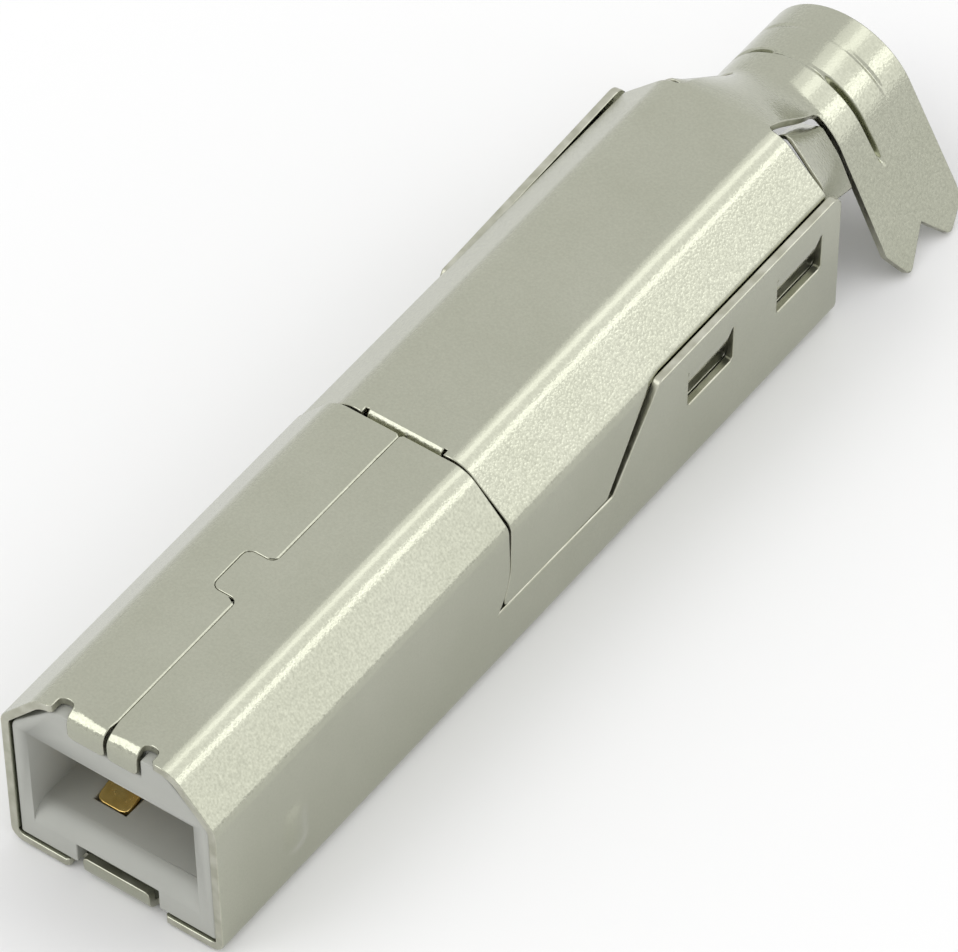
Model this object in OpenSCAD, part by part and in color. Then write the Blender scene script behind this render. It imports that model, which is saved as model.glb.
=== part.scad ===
// Solder-type square data plug: folded base shell, clip-on cover with a crimp barrel,
// moulded insulator and four spring contacts. Lengths are in millimetres.
// X runs across the plug, Y from the mating face to the cable end, Z up.
// The origin is the centre of the mating face.

/* [Shell section] */
// Width of the shell
shell_w = 8; // [7.8:0.05:8.2]
// Height of the shell
shell_h = 7.26; // [7.1:0.02:7.4]
// Thickness of the folded sheet
sheet_t = 0.3; // [0.26:0.02:0.32]
// Width of the flat top between the two chamfers
top_flat_w = 4.32; // [4.2:0.02:4.5]
// Height of the side walls below the chamfers
side_h = 5.53; // [5.4:0.01:5.65]
// Outer radius of the bottom bends
bottom_bend_r = 0.45; // [0.4:0.05:0.6]
// Outer radius of the bends at both ends of a chamfer
chamfer_bend_r = 0.9; // [0.7:0.05:1]

/* [Base shell] */
// Length of the closed tube
tube_len = 14.5; // [14:0.1:15]
// Length of the base from the mating face to its rear edge
base_len = 31.7; // [31.5:0.1:33]
// Height of the low walls beside the cover's flush panels
ledge_z = 2.3; // [2.1:0.05:2.5]
// Height of the rear walls
wall_top_z = 5.48; // [5.3:0.01:5.6]
// Height above which the rear walls lean out
wall_hinge_z = 1.2; // [0.8:0.05:1.4]
// How far a rear wall leans out at its top
wall_lean = 0.2; // [0.1:0.02:0.26]
// Length of the slanted wall end
slant_run = 2.3; // [2:0.1:2.6]
// Distance from the top of the slanted wall end to the front latch window
slant_lead = 1.55; // [1.4:0.05:1.8]
// How far the cover's toe reaches forward beside the tube
toe_reach = 0.65; // [0.4:0.05:0.8]
// Height at which the toe's curve starts
toe_top_z = 4; // [3.6:0.1:4.4]
// Corner radius at the top of the rear walls
wall_corner_r = 0.3; // [0.1:0.05:0.5]

/* [Top seam] */
// Width of the seam between the two halves of the tube's top
seam_gap = 0.1; // [0.06:0.01:0.14]
// Sideways reach of the locking key
seam_key_reach = 1; // [0.8:0.05:1.2]
// Distance from the mating face to the key
seam_key_y = 6.45; // [5:0.05:8]
// Length of the key
seam_key_len = 1.8; // [1.4:0.1:3]
// Radius of the seam's turns at the key
seam_key_r = 0.28; // [0.2:0.02:0.36]

/* [Front tabs] */
// Distance from the seam's middle to the outer edge of a top tab
top_tab_x = 1.17; // [0.9:0.01:1.3]
// Height of the top tabs in front of the insulator
top_tab_drop = 1; // [0.8:0.05:1.2]
// Width of the bottom tab
bottom_tab_w = 2.5; // [2:0.1:2.6]
// Height of the bottom tab
bottom_tab_rise = 0.85; // [0.7:0.05:1]
// Outer bend radius of the tabs
tab_bend_r = 0.45; // [0.36:0.01:0.5]
// Width of the relief slots beside the tabs
relief_w = 0.55; // [0.4:0.05:0.6]
// Depth of the relief slots
relief_depth = 0.55; // [0.52:0.01:0.8]

/* [Side detents] */
// Distance from the mating face to the detents
detent_y = 3.68; // [3:0.1:6]
// Height of a detent's middle
detent_z = 2.28; // [2:0.05:3]
// Height of a detent
detent_h = 1.9; // [1.5:0.05:2.2]
// Outer radius of a detent's round back
detent_r = 0.8; // [0.6:0.05:0.9]
// How far a detent stands out of the wall
detent_rise = 0.09; // [0.05:0.01:0.12]

/* [Latches] */
// Distance from the rear latch window to the base's rear edge
latch_end_gap = 1; // [0.8:0.05:1.1]
// Distance between the latch windows
latch_pitch = 4.75; // [4:0.05:5]
// Length of a latch window
latch_len = 2.4; // [2:0.1:2.6]
// Height of a window's lower edge
latch_low_z = 2.95; // [2.8:0.01:3.1]
// Height of a latch's fold
latch_high_z = 4.47; // [4.3:0.01:4.6]
// How far a latch's free edge is pressed inward
latch_press = 0.34; // [0.28:0.02:0.38]
// Width of the cut round a latch
latch_cut = 0.12; // [0.08:0.01:0.2]

/* [Cover] */
// Gap along the edges between the cover and the base
cover_gap = 0.1; // [0.06:0.01:0.15]
// Gap between the cover's inner flanges and the base walls
flange_gap = 0.06; // [0.04:0.01:0.1]
// Height of the flanges' lower edge
flange_low_z = 1.6; // [1.3:0.05:1.9]
// Length of the flange in front of the first latch window
flange_lead = 1.2; // [1:0.05:1.3]
// Distance from the roof's rear edge to the base's rear edge
roof_end_gap = 0.4; // [0.3:0.05:0.6]
// Width of the tongue under the tube's top
tongue_w = 2.8; // [2.4:0.1:3]
// Length of the tongue in front of the seam line
tongue_len = 1.9; // [1.5:0.1:2.2]
// Width of the slots beside the tongue
tongue_slot = 0.3; // [0.2:0.05:0.35]
// Bend radius of the tongue, at mid thickness
tongue_bend_r = 0.2; // [0.18:0.01:0.25]
// Depth of the slots beside the tongue
tongue_slot_depth = 0.32; // [0.3:0.02:0.5]

/* [Crimp barrel] */
// Inner radius of the barrel
barrel_r = 2.58; // [2.4:0.02:2.7]
// Height of the barrel's axis
barrel_z = 3.04; // [3:0.02:3.2]
// Length of the barrel
barrel_len = 3.9; // [3.7:0.05:4.2]
// Angle of each ear to the vertical
ear_splay = 30; // [26:1:32]
// Length of an ear to its tips
ear_len = 5.04; // [4.6:0.02:5.04]
// Depth of the notch between an ear's tips
ear_notch = 1.05; // [0.6:0.05:1.3]
// Distance from the barrel's front edge to an ear's front tip
ear_front_tip = 0.3; // [0.2:0.05:0.5]
// Distance from the barrel's front edge to the notch
ear_notch_y = 1.67; // [1.5:0.01:1.9]
// Distance from the barrel's front edge to an ear's rear tip
ear_rear_tip = 2.55; // [2.4:0.05:2.8]
// How far an ear's front corner reaches forward of the barrel's front edge
ear_lead = 0.34; // [0.1:0.02:0.4]
// How far an ear's rear corner lies forward of the barrel's rear edge
ear_trail = 0.2; // [0:0.02:0.3]
// Height of an ear's rear corner over its tips
ear_corner_rise = 0.7; // [0.5:0.05:0.9]
// Radius of an ear's tips
ear_tip_r = 0.2; // [0.1:0.05:0.25]
// Radius of an ear's rear corner
ear_corner_r = 0.9; // [0.5:0.1:1]
// Length of the neck between the roof's rear edge and the barrel
neck_len = 2.68; // [2.5:0.02:2.9]
// Width of the neck between roof and barrel
neck_w = 3.3; // [3:0.1:3.6]
// Width at which the neck's root runs into the barrel
neck_root_w = 4.3; // [4:0.1:4.6]
// Length of the rounded root of the neck
neck_root_len = 0.5; // [0.3:0.05:0.7]
// Height of the neck over the crown at the barrel's front edge
neck_lift = 0.1; // [0.08:0.01:0.14]
// How far the neck runs into the crown
neck_sink_len = 0.3; // [0.2:0.02:0.4]
// Distance from the barrel's front edge to its first groove
groove_y = 1.38; // [1.2:0.02:1.6]
// Distance between the grooves
groove_pitch = 1.34; // [1:0.02:1.5]
// Width of the first groove
groove_w = 0.26; // [0.15:0.01:0.3]
// Depth of the first groove
groove_depth = 0.17; // [0.08:0.01:0.2]
// Length of the first groove down each ear
groove_run = 1.4; // [0.8:0.05:1.6]

/* [Rear wings] */
// Gap between the roof's rear edge and a wing
wing_gap = 0.2; // [0.12:0.02:0.24]
// Height of a wing's lower edge
wing_low_z = 4.6; // [4.4:0.05:4.7]
// Gap between the wings' rear end and the barrel's front edge
wing_end_gap = 0.2; // [0.15:0.05:0.4]
// Distance from the middle to a wing's rear end
wing_end_x = 2.95; // [2.7:0.05:3.1]
// Height of a wing's lower edge at its rear end
wing_end_low_z = 3.3; // [3.1:0.05:3.6]
// Height that the wings' rear end keeps below the barrel's crown
wing_end_drop = 0.45; // [0.4:0.05:0.6]

/* [Insulator] */
// Gap between the insulator and the shell
insulator_gap = 0.04; // [0.02:0.01:0.06]
// Distance from the mating face to the insulator's front
insulator_front_y = 0.1; // [0.06:0.02:0.2]
// Distance from the mating face to the insulator's rear face
insulator_len = 13.4; // [13:0.1:13.8]
// Width of the mating cavity
cavity_w = 6.2; // [6:0.05:6.3]
// Height of the mating cavity
cavity_h = 3.42; // [3.35:0.01:3.5]
// Height of the cavity's floor
cavity_floor_z = 1.8; // [1.75:0.01:1.85]
// Distance from the mating face to the cavity's end
cavity_depth = 9.2; // [8.8:0.1:9.8]
// Radius of the lead-in at the cavity's lower edge
lead_in_r = 0.7; // [0.3:0.1:0.9]
// Depth of the pocket behind the bottom tab
tab_pocket_depth = 0.8; // [0.6:0.05:1]
// Gap round the bottom tab in its pocket
tab_pocket_gap = 0.28; // [0.2:0.02:0.3]
// Gap round the top tabs in their pocket
top_pocket_gap = 0.06; // [0.04:0.01:0.1]
// Length of the solder block behind the insulator's rear face
solder_block_len = 4; // [3.5:0.1:4.5]
// Width of the solder block
solder_block_w = 5.4; // [5:0.1:5.8]
// Height of the ribs that part the solder tails
solder_rib_h = 0.5; // [0.3:0.05:0.6]

/* [Contacts] */
// Distance between the contacts of a row
contact_pitch = 2.5; // [2.4:0.05:2.6]
// Width of a contact
contact_w = 1.16; // [1:0.02:1.2]
// Thickness of a contact
contact_t = 0.22; // [0.18:0.01:0.25]
// Distance from the cavity's floor down to a contact's straight run
contact_sink = 0.14; // [0.1:0.01:0.2]
// Gap between a contact and its slot
contact_gap = 0.03; // [0.02:0.01:0.05]
// Distance from the mating face to the tips of the power contacts
contact_tip_y = 1.5; // [1.4:0.05:1.8]
// How much further back the tips of the data contacts lie
data_setback = 2; // [1:0.05:2.2]
// Length of a contact's bow
bow_len = 5; // [4.5:0.1:5.5]
// Height of the bow over the straight run
bow_rise = 0.95; // [0.8:0.05:1]
// Bend radius at the bow's crest
bow_crest_r = 1.8; // [1.5:0.1:2.5]
// Bend radius at the bow's foot
bow_foot_r = 1; // [0.6:0.1:1.2]
// Height of a contact's tip over the straight run
tip_rise = 0.12; // [0:0.02:0.2]
// Gap between a solder tail's end and the end of its block
tail_inset = 0.3; // [0.2:0.05:0.6]

/* [Hidden] */
$fn = 64;

// Overlap that joins two shapes of one piece, and the reach of cutters past a face
joint_lap = 0.02;
cut_past = 1;
strip_lap = 0.004;
sheet_lap = 0.1;
// Fine inset that keeps a lapped sheet inside the sheet it joins
sheet_inset = 0.01;

half_w = shell_w / 2;
chamfer_slope = (shell_h - side_h) / (half_w - top_flat_w / 2);
flange_x = half_w - sheet_t - flange_gap;
flange_fold_z = side_h + (half_w - flange_x) * chamfer_slope;
roof_end_y = base_len - roof_end_gap;
barrel_y = roof_end_y + neck_len;
barrel_end_y = barrel_y + barrel_len;
barrel_outer_r = barrel_r + sheet_t;
latch_y = base_len - latch_end_gap - latch_len - latch_pitch;
latch_ys = [latch_y, latch_y + latch_pitch];
slant_high_y = latch_y - slant_lead;
slant_low_y = slant_high_y - slant_run;
cavity_top_z = cavity_floor_z + cavity_h;
cavity_mid_z = cavity_floor_z + cavity_h / 2;
tongue_drop = sheet_t + cover_gap / 2;
contact_run_z = cavity_floor_z - contact_sink - contact_t / 2;
solder_block_end_y = insulator_len + solder_block_len;
tail_end_y = solder_block_end_y - tail_inset;

// Helpers: corners, rounded outlines and bent strips

function unit(v) = v / norm(v);
function lerp(a, b, t) = a + (b - a) * t;
function ease(t) = t * t * (3 - 2 * t);

// Half of the angle between the edges that meet at corner b
function half_angle(a, b, c) = acos(unit(a - b) * unit(c - b)) / 2;

// Centre of the arc that rounds corner b, which is also b moved in by r
function arc_center(a, b, c, r) =
    b + unit(unit(a - b) + unit(c - b)) * r / sin(half_angle(a, b, c));

// Distance from corner b to the ends of its rounding arc
function tangent_len(a, b, c, r) = r / tan(half_angle(a, b, c));

function before(points, i) = points[(i + len(points) - 1) % len(points)];
function after(points, i) = points[(i + 1) % len(points)];

// All corners of a convex outline moved in by d
function inset_points(points, d) = [
    for (i = [0 : len(points) - 1])
        arc_center(before(points, i), points[i], after(points, i), d)
];

// Outline with true arcs at its convex corners
module rounded_outline(points, radii) {
    polygon([
        for (i = [0 : len(points) - 1])
            let (
                a = before(points, i),
                b = points[i],
                c = after(points, i),
                d = tangent_len(a, b, c, radii[i])
            )
            each radii[i] > 0 ? [b + unit(a - b) * d, b + unit(c - b) * d] : [b]
    ]);
    for (i = [0 : len(points) - 1])
        if (radii[i] > 0)
            translate(arc_center(before(points, i), points[i], after(points, i), radii[i]))
                circle(r = radii[i]);
}

// Closed sheet of even thickness that follows a convex outline on its inside
module sheet_ring(points, radii) {
    difference() {
        rounded_outline(points, radii);
        rounded_outline(
            inset_points(points, sheet_t),
            [for (r = radii) max(r - sheet_t, 0)]
        );
    }
}

// Part of a ring between two angles less than half a turn apart
module ring_sector(inner_r, outer_r, start, end) {
    steps = 4;
    intersection() {
        difference() {
            circle(r = outer_r);
            circle(r = inner_r);
        }
        polygon([
            [0, 0],
            for (i = [0 : steps])
                let (angle = lerp(start, end, i / steps))
                2 * outer_r * [cos(angle), sin(angle)]
        ]);
    }
}

// Strip of thickness t along a path, with a true arc of mid radius r at each bend
module bent_strip(path, radii, t) {
    last = len(path) - 1;
    bend = [
        for (i = [0 : last])
            i == 0 || i == last ? 0 : tangent_len(path[i - 1], path[i], path[i + 1], radii[i])
    ];
    for (i = [0 : last - 1]) {
        way = unit(path[i + 1] - path[i]);
        run = norm(path[i + 1] - path[i]) - bend[i] - bend[i + 1];
        translate(path[i] + way * bend[i])
            rotate(atan2(way[1], way[0]))
                translate([-strip_lap, -t / 2])
                    square([run + 2 * strip_lap, t]);
    }
    for (i = [1 : last - 1]) {
        center = arc_center(path[i - 1], path[i], path[i + 1], radii[i]);
        from = path[i] + unit(path[i - 1] - path[i]) * bend[i] - center;
        to = path[i] + unit(path[i + 1] - path[i]) * bend[i] - center;
        turn = atan2(from[0] * to[1] - from[1] * to[0], from * to);
        start = atan2(from[1], from[0]);
        translate(center)
            ring_sector(radii[i] - t / 2, radii[i] + t / 2, start, start + turn);
    }
}

// Extrusions of an outline along one axis of the plug
module along_x(from, to) {
    translate([from, 0, 0])
        rotate([90, 0, 90])
            linear_extrude(to - from)
                children();
}

module along_y(from, to) {
    translate([0, to, 0])
        rotate([90, 0, 0])
            linear_extrude(to - from)
                children();
}

module along_z(from, to) {
    translate([0, 0, from])
        linear_extrude(to - from)
            children();
}

module both_sides() {
    children();
    mirror([1, 0, 0])
        children();
}

// Heights are measured from the plug's bottom, and the origin is half way up
module in_frame() {
    translate([0, 0, -shell_h / 2])
        children();
}

// Sheet between two grids of points, with rows along the plug and columns across it
module lofted_sheet(upper, lower) {
    rows = len(upper);
    cols = len(upper[0]);
    u = function(i, j) i * cols + j;
    l = function(i, j) rows * cols + i * cols + j;
    quads = [
        for (i = [0 : rows - 2])
            for (j = [0 : cols - 2])
                each [
                    [u(i, j), u(i + 1, j), u(i + 1, j + 1), u(i, j + 1)],
                    [l(i, j), l(i, j + 1), l(i + 1, j + 1), l(i + 1, j)]
                ],
        for (j = [0 : cols - 2])
            each [
                [u(0, j), u(0, j + 1), l(0, j + 1), l(0, j)],
                [u(rows - 1, j + 1), u(rows - 1, j), l(rows - 1, j), l(rows - 1, j + 1)]
            ],
        for (i = [0 : rows - 2])
            each [
                [u(i + 1, 0), u(i, 0), l(i, 0), l(i + 1, 0)],
                [u(i, cols - 1), u(i + 1, cols - 1), l(i + 1, cols - 1), l(i, cols - 1)]
            ]
    ];
    polyhedron(
        points = [for (row = upper) each row, for (row = lower) each row],
        faces = [for (q = quads) each [[q[0], q[1], q[2]], [q[0], q[2], q[3]]]]
    );
}

// Sections of the shell

// Corners of the plug's section for a given half width below the chamfers
function section_points(half, fold_z) = [
    [-half, 0],
    [half, 0],
    [half, fold_z],
    [top_flat_w / 2, shell_h],
    [-top_flat_w / 2, shell_h],
    [-half, fold_z]
];
function section_radii() = [
    bottom_bend_r,
    bottom_bend_r,
    chamfer_bend_r,
    chamfer_bend_r,
    chamfer_bend_r,
    chamfer_bend_r
];

module shell_section() {
    sheet_ring(section_points(half_w, side_h), section_radii());
}

module flange_section() {
    sheet_ring(section_points(flange_x, flange_fold_z), section_radii());
}

// Side outline of the flush front of the cover, drawn back by a gap
module panel_outline(gap) {
    rise = toe_top_z - ledge_z;
    toe_r = (rise * rise + toe_reach * toe_reach) / (2 * toe_reach);
    slant = (slant_high_y - slant_low_y) / (wall_top_z - ledge_z);
    slant_gap = gap * sqrt(1 + slant * slant);
    low_z = ledge_z + gap;
    difference() {
        polygon([
            [tube_len - toe_reach, low_z],
            [slant_low_y + gap * slant - slant_gap, low_z],
            [slant_high_y - slant_gap, wall_top_z],
            [slant_high_y - slant_gap, shell_h + cut_past],
            [tube_len + gap, shell_h + cut_past],
            [tube_len + gap, toe_top_z],
            [tube_len - toe_reach, toe_top_z]
        ]);
        translate([tube_len - toe_r, toe_top_z])
            circle(r = toe_r + gap);
    }
}

// Base shell

// Centre line of the top seam with its locking key, as a slit
module seam_slit() {
    key_end = seam_key_y + seam_key_len;
    bent_strip(
        [
            [0, -cut_past],
            [0, seam_key_y],
            [-seam_key_reach, seam_key_y],
            [-seam_key_reach, key_end],
            [0, key_end],
            [0, tube_len + cut_past]
        ],
        [0, seam_key_r, seam_key_r, seam_key_r, seam_key_r, 0],
        seam_gap
    );
}

// Slot with a round end that frees the side of a tab
module relief_slot(x) {
    translate([x, -cut_past])
        square([relief_w, cut_past + relief_depth - relief_w / 2]);
    translate([x + relief_w / 2, relief_depth - relief_w / 2])
        circle(d = relief_w);
}

module tab_cut(tab_half) {
    translate([-tab_half - joint_lap, -cut_past])
        square([2 * (tab_half + joint_lap), cut_past + tab_bend_r]);
    both_sides()
        relief_slot(tab_half);
}

// Side profile of a tab bent over the front edge, for a sheet whose outer face is at z
module tab_profile(z, way, reach) {
    mid_r = tab_bend_r - sheet_t / 2;
    face_y = sheet_t / 2;
    sheet_z = z + way * sheet_t / 2;
    bent_strip(
        [[tab_bend_r + joint_lap, sheet_z], [face_y, sheet_z], [face_y, z + way * reach]],
        [0, mid_r, 0],
        sheet_t
    );
}

module front_tabs() {
    both_sides()
        along_x(seam_gap / 2, top_tab_x)
            tab_profile(shell_h, -1, top_tab_drop);
    along_x(-bottom_tab_w / 2, bottom_tab_w / 2)
        tab_profile(0, 1, bottom_tab_rise);
}

// Upright rib with round ends, pressed out of the side wall
module detent(r) {
    sink = detent_r - detent_rise;
    straight = detent_h / 2 - sqrt(detent_r * detent_r - sink * sink);
    translate([half_w - sink, detent_y, detent_z]) {
        translate([0, 0, -straight])
            cylinder(r = r, h = 2 * straight);
        for (end = [-1, 1])
            translate([0, 0, end * straight])
                sphere(r = r);
    }
}

module latch_windows(grow, low_z, high_z) {
    for (y = latch_ys)
        translate([y - grow, low_z - grow])
            square([latch_len + 2 * grow, high_z - low_z + 2 * grow]);
}

// Outer face of a rear wall at a given height
function wall_x(z) = half_w + max(z - wall_hinge_z, 0) * wall_lean / (wall_top_z - wall_hinge_z);

// Upper part of a rear wall, leaning out from its hinge height
module leaning_wall() {
    low_z = wall_hinge_z - sheet_lap;
    polygon([
        [half_w - sheet_inset, low_z],
        [half_w, wall_hinge_z],
        [wall_x(wall_top_z), wall_top_z],
        [wall_x(wall_top_z) - sheet_t, wall_top_z],
        [half_w - sheet_t, wall_hinge_z],
        [half_w - sheet_t + sheet_inset, low_z]
    ]);
}

// Tongue of the wall, folded at its top and pressed inward at its free lower edge
module latch(y) {
    free_z = latch_low_z + latch_cut;
    free_x = wall_x(free_z) - latch_press;
    root_z = latch_high_z + sheet_lap;
    along_y(y + latch_cut, y + latch_len - latch_cut)
        polygon([
            [wall_x(root_z) - sheet_inset, root_z],
            [wall_x(latch_high_z), latch_high_z],
            [free_x, free_z],
            [free_x - sheet_t, free_z],
            [wall_x(latch_high_z) - sheet_t, latch_high_z],
            [wall_x(root_z) - sheet_t + sheet_inset, root_z]
        ]);
}

// Everything above the base's rear walls, with round corners at the walls' rear end
module rear_opening() {
    translate([slant_high_y, wall_top_z])
        square([base_len + cut_past - slant_high_y, shell_h]);
    difference() {
        translate([base_len - wall_corner_r, wall_top_z - wall_corner_r])
            square([wall_corner_r + cut_past, wall_corner_r]);
        translate([base_len - wall_corner_r, wall_top_z - wall_corner_r])
            circle(r = wall_corner_r);
    }
}

module base_shell() {
    color("silver")
        in_frame() {
            difference() {
                union() {
                    difference() {
                        along_y(0, base_len)
                            shell_section();
                        along_x(-shell_w, shell_w)
                            translate([slant_low_y, wall_hinge_z])
                                square([base_len, shell_h]);
                    }
                    both_sides()
                        along_y(slant_low_y - sheet_lap, base_len)
                            leaning_wall();
                    both_sides()
                        intersection() {
                            detent(detent_r);
                            translate([half_w - sheet_t / 2, 0, 0])
                                cube([sheet_t, tube_len, shell_h]);
                        }
                }
                both_sides()
                    detent(detent_r - sheet_t);
                along_x(-shell_w, shell_w) {
                    panel_outline(0);
                    rear_opening();
                }
                along_z(shell_h - 2 * sheet_t, shell_h + cut_past) {
                    seam_slit();
                    tab_cut(top_tab_x);
                }
                along_z(-cut_past, 2 * sheet_t)
                    tab_cut(bottom_tab_w / 2);
                along_x(-shell_w, shell_w)
                    latch_windows(0, latch_low_z, latch_high_z);
            }
            front_tabs();
            for (y = latch_ys)
                both_sides()
                    latch(y);
        }
}

// Top cover

// Front tongue, stepped down by a double bend so that it slides under the tube's top
module tongue() {
    top_z = shell_h - sheet_t / 2;
    bend_angle = 60;
    root_y = tube_len + cover_gap + tongue_slot_depth;
    crest_y = root_y - tongue_bend_r * tan(bend_angle / 2);
    foot_y = crest_y - tongue_drop / tan(bend_angle);
    along_x(-tongue_w / 2, tongue_w / 2)
        bent_strip(
            [
                [root_y + joint_lap, top_z],
                [crest_y, top_z],
                [foot_y, top_z - tongue_drop],
                [tube_len - tongue_len, top_z - tongue_drop]
            ],
            [0, tongue_bend_r, tongue_bend_r, 0],
            sheet_t
        );
}

// Grid of the neck: a flat strip that sinks and rounds until it meets the barrel
neck_rows = 14;
neck_cols = 16;
neck_drop = shell_h - barrel_z - barrel_outer_r - neck_lift;
function neck_fall(u) = lerp(u * u, ease(u), 0.5) * neck_drop;
function neck_half_w(u) =
    let (t = max(0, 1 - (1 - u) * neck_len / neck_root_len))
    lerp(neck_w, neck_root_w, 1 - sqrt(1 - t * t)) / 2;
function neck_sag(x, u) =
    let (k = pow(u, 6) / barrel_outer_r)
    k * x * x / (1 + sqrt(1 - k * k * x * x));
function neck_point(u, v, depth) =
    let (x = v * neck_half_w(u))
    [
        x,
        lerp(roof_end_y, barrel_y, u),
        shell_h - neck_fall(u) - neck_sag(x, u) - depth
    ];
// Rows of the neck, with one row lapped into the roof and one sunk into the crown
function neck_grid(depth, sunk_depth) = [
    for (i = [-1 : neck_rows + 1])
        let (
            shift = i < 0 ? -sheet_lap : i > neck_rows ? neck_sink_len : 0,
            row_depth = i > neck_rows ? sunk_depth : depth
        )
        [
            for (j = [0 : neck_cols])
                neck_point(min(max(i / neck_rows, 0), 1), 2 * j / neck_cols - 1, row_depth)
                    + [0, shift, 0]
        ]
];

module neck() {
    low = sheet_t - sheet_inset;
    lofted_sheet(neck_grid(sheet_inset, 2 * neck_lift), neck_grid(low, low));
}

// Outline of an ear along the plug and down the ear, with two tips and a notch
module ear_outline() {
    shoulder = ear_len - ear_notch;
    rounded_outline(
        [
            [barrel_y + sheet_inset, sheet_lap],
            [barrel_y, 0],
            [barrel_y - ear_lead, -shoulder],
            [barrel_y + ear_front_tip, -ear_len],
            [barrel_y + ear_notch_y, -shoulder],
            [barrel_y + ear_rear_tip, -ear_len],
            [barrel_end_y - ear_trail, ear_corner_rise - ear_len],
            [barrel_end_y, 0],
            [barrel_end_y - sheet_inset, sheet_lap]
        ],
        [0, 0, ear_tip_r / 2, ear_tip_r, 0, ear_tip_r, ear_corner_r, 0, 0]
    );
}

// Cutter of a groove over the barrel's crown and down the ears
module groove(y, w, depth, run) {
    inner = barrel_outer_r - depth;
    outer = barrel_outer_r + cut_past;
    along_y(y - w / 2, y + w / 2)
        translate([0, barrel_z]) {
            ring_sector(inner, outer, ear_splay, 180 - ear_splay);
            if (run > 0)
                both_sides()
                    rotate(ear_splay)
                        translate([inner + sheet_inset, -run])
                            square([outer - inner, run + sheet_lap]);
        }
}

module barrel() {
    difference() {
        union() {
            along_y(barrel_y, barrel_end_y)
                translate([0, barrel_z])
                    ring_sector(barrel_r, barrel_outer_r, ear_splay, 180 - ear_splay);
            both_sides()
                translate([0, 0, barrel_z])
                    rotate([0, -ear_splay, 0])
                        along_x(barrel_r + sheet_inset, barrel_outer_r - sheet_inset)
                            ear_outline();
        }
        groove(barrel_y + groove_y, groove_w, groove_depth, groove_run);
        groove(barrel_y + groove_y + groove_pitch, groove_w, groove_depth / 2, 0);
    }
}

// Grid of a wing: it leaves the flange behind the roof and closes in under the barrel
wing_rows = 8;
wing_cols = 12;
wing_start_y = roof_end_y + wing_gap;
wing_end_y = barrel_y - wing_end_gap;
wing_end_top_z = barrel_z + barrel_outer_r - wing_end_drop;
// Angles of a wing's upper free edge and the squareness of its section, front and rear
wing_angles = [64, 56];
wing_squareness = [3, 2.2];
function wing_point(v, s, depth) =
    let (
        t = lerp(v, ease(v), 0.5),
        reach = lerp(flange_x - sheet_inset, wing_end_x, t) - depth,
        low_z = lerp(wing_low_z, wing_end_low_z, t),
        rise = lerp(shell_h, wing_end_top_z, t) - low_z - depth,
        power = 2 / lerp(wing_squareness[0], wing_squareness[1], t),
        angle = lerp(lerp(wing_angles[0], wing_angles[1], t), 0, s)
    )
    [
        reach * pow(cos(angle), power),
        lerp(wing_start_y, wing_end_y, v),
        low_z + rise * pow(sin(angle), power)
    ];
function wing_grid(depth) = [
    for (i = [0 : wing_rows])
        [for (j = [0 : wing_cols]) wing_point(i / wing_rows, j / wing_cols, depth)]
];

module wing() {
    lofted_sheet(wing_grid(0), wing_grid(sheet_t - 2 * sheet_inset));
}

module cover_front() {
    intersection() {
        along_y(tube_len - toe_reach - cut_past, slant_high_y)
            shell_section();
        along_x(-shell_w, shell_w)
            panel_outline(cover_gap);
    }
}

module cover_rear() {
    lead_y = latch_y - flange_lead;
    root_z = flange_fold_z - chamfer_bend_r;
    difference() {
        along_y(slant_high_y - cover_gap - 2 * joint_lap, roof_end_y)
            flange_section();
        along_x(-shell_w, shell_w) {
            translate([0, -cut_past])
                square([base_len + cut_past, flange_low_z + cut_past]);
            translate([0, -cut_past])
                square([lead_y, root_z + cut_past]);
            latch_windows(latch_cut, latch_low_z, latch_high_z);
        }
    }
    // Bridges from the flanges to the wings
    both_sides()
        along_y(roof_end_y - joint_lap, wing_start_y + joint_lap)
            translate([flange_x - sheet_t, wing_low_z + joint_lap])
                square([sheet_t, root_z - wing_low_z - joint_lap]);
}

module top_cover() {
    color("silver")
        in_frame() {
            difference() {
                cover_front();
                along_z(shell_h - 2 * sheet_t, shell_h + cut_past)
                    translate([-tongue_w / 2 - tongue_slot, 0])
                        square([tongue_w + 2 * tongue_slot, tube_len + cover_gap + tongue_slot_depth]);
            }
            tongue();
            cover_rear();
            neck();
            barrel();
            both_sides()
                wing();
        }
}

// Insulator

// Path of a contact in side view: solder tail, straight run, bow and tip
function contact_path(setback) = [
    [tail_end_y, contact_run_z],
    [contact_tip_y + setback + bow_len, contact_run_z],
    [contact_tip_y + setback + bow_len / 2, contact_run_z + bow_rise],
    [contact_tip_y + setback, contact_run_z + tip_rise]
];

// Mirrors a lower contact or slot to the upper row
module upper_row() {
    translate([0, 0, 2 * cavity_mid_z])
        mirror([0, 0, 1])
            children();
}

module both_rows() {
    children();
    upper_row()
        children();
}

// Channel in the cavity's floor that runs on as a slot through the rear wall
module contact_channel(x, tip_y) {
    width = contact_w + 2 * contact_gap;
    bottom_z = contact_run_z - contact_t / 2 - contact_gap;
    top_z = contact_run_z + contact_t / 2 + contact_gap;
    front_y = tip_y - 2 * contact_gap;
    translate([x - width / 2, front_y, bottom_z])
        cube([width, cavity_depth - front_y, cavity_floor_z - bottom_z + joint_lap]);
    translate([x - width / 2, cavity_depth - joint_lap, bottom_z])
        cube([width, solder_block_end_y + cut_past - cavity_depth, top_z - bottom_z]);
}

module insulator_section() {
    clear = sheet_t + insulator_gap;
    rounded_outline(
        inset_points(section_points(half_w, side_h), clear),
        [for (r = section_radii()) max(r - clear, 0)]
    );
}

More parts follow.
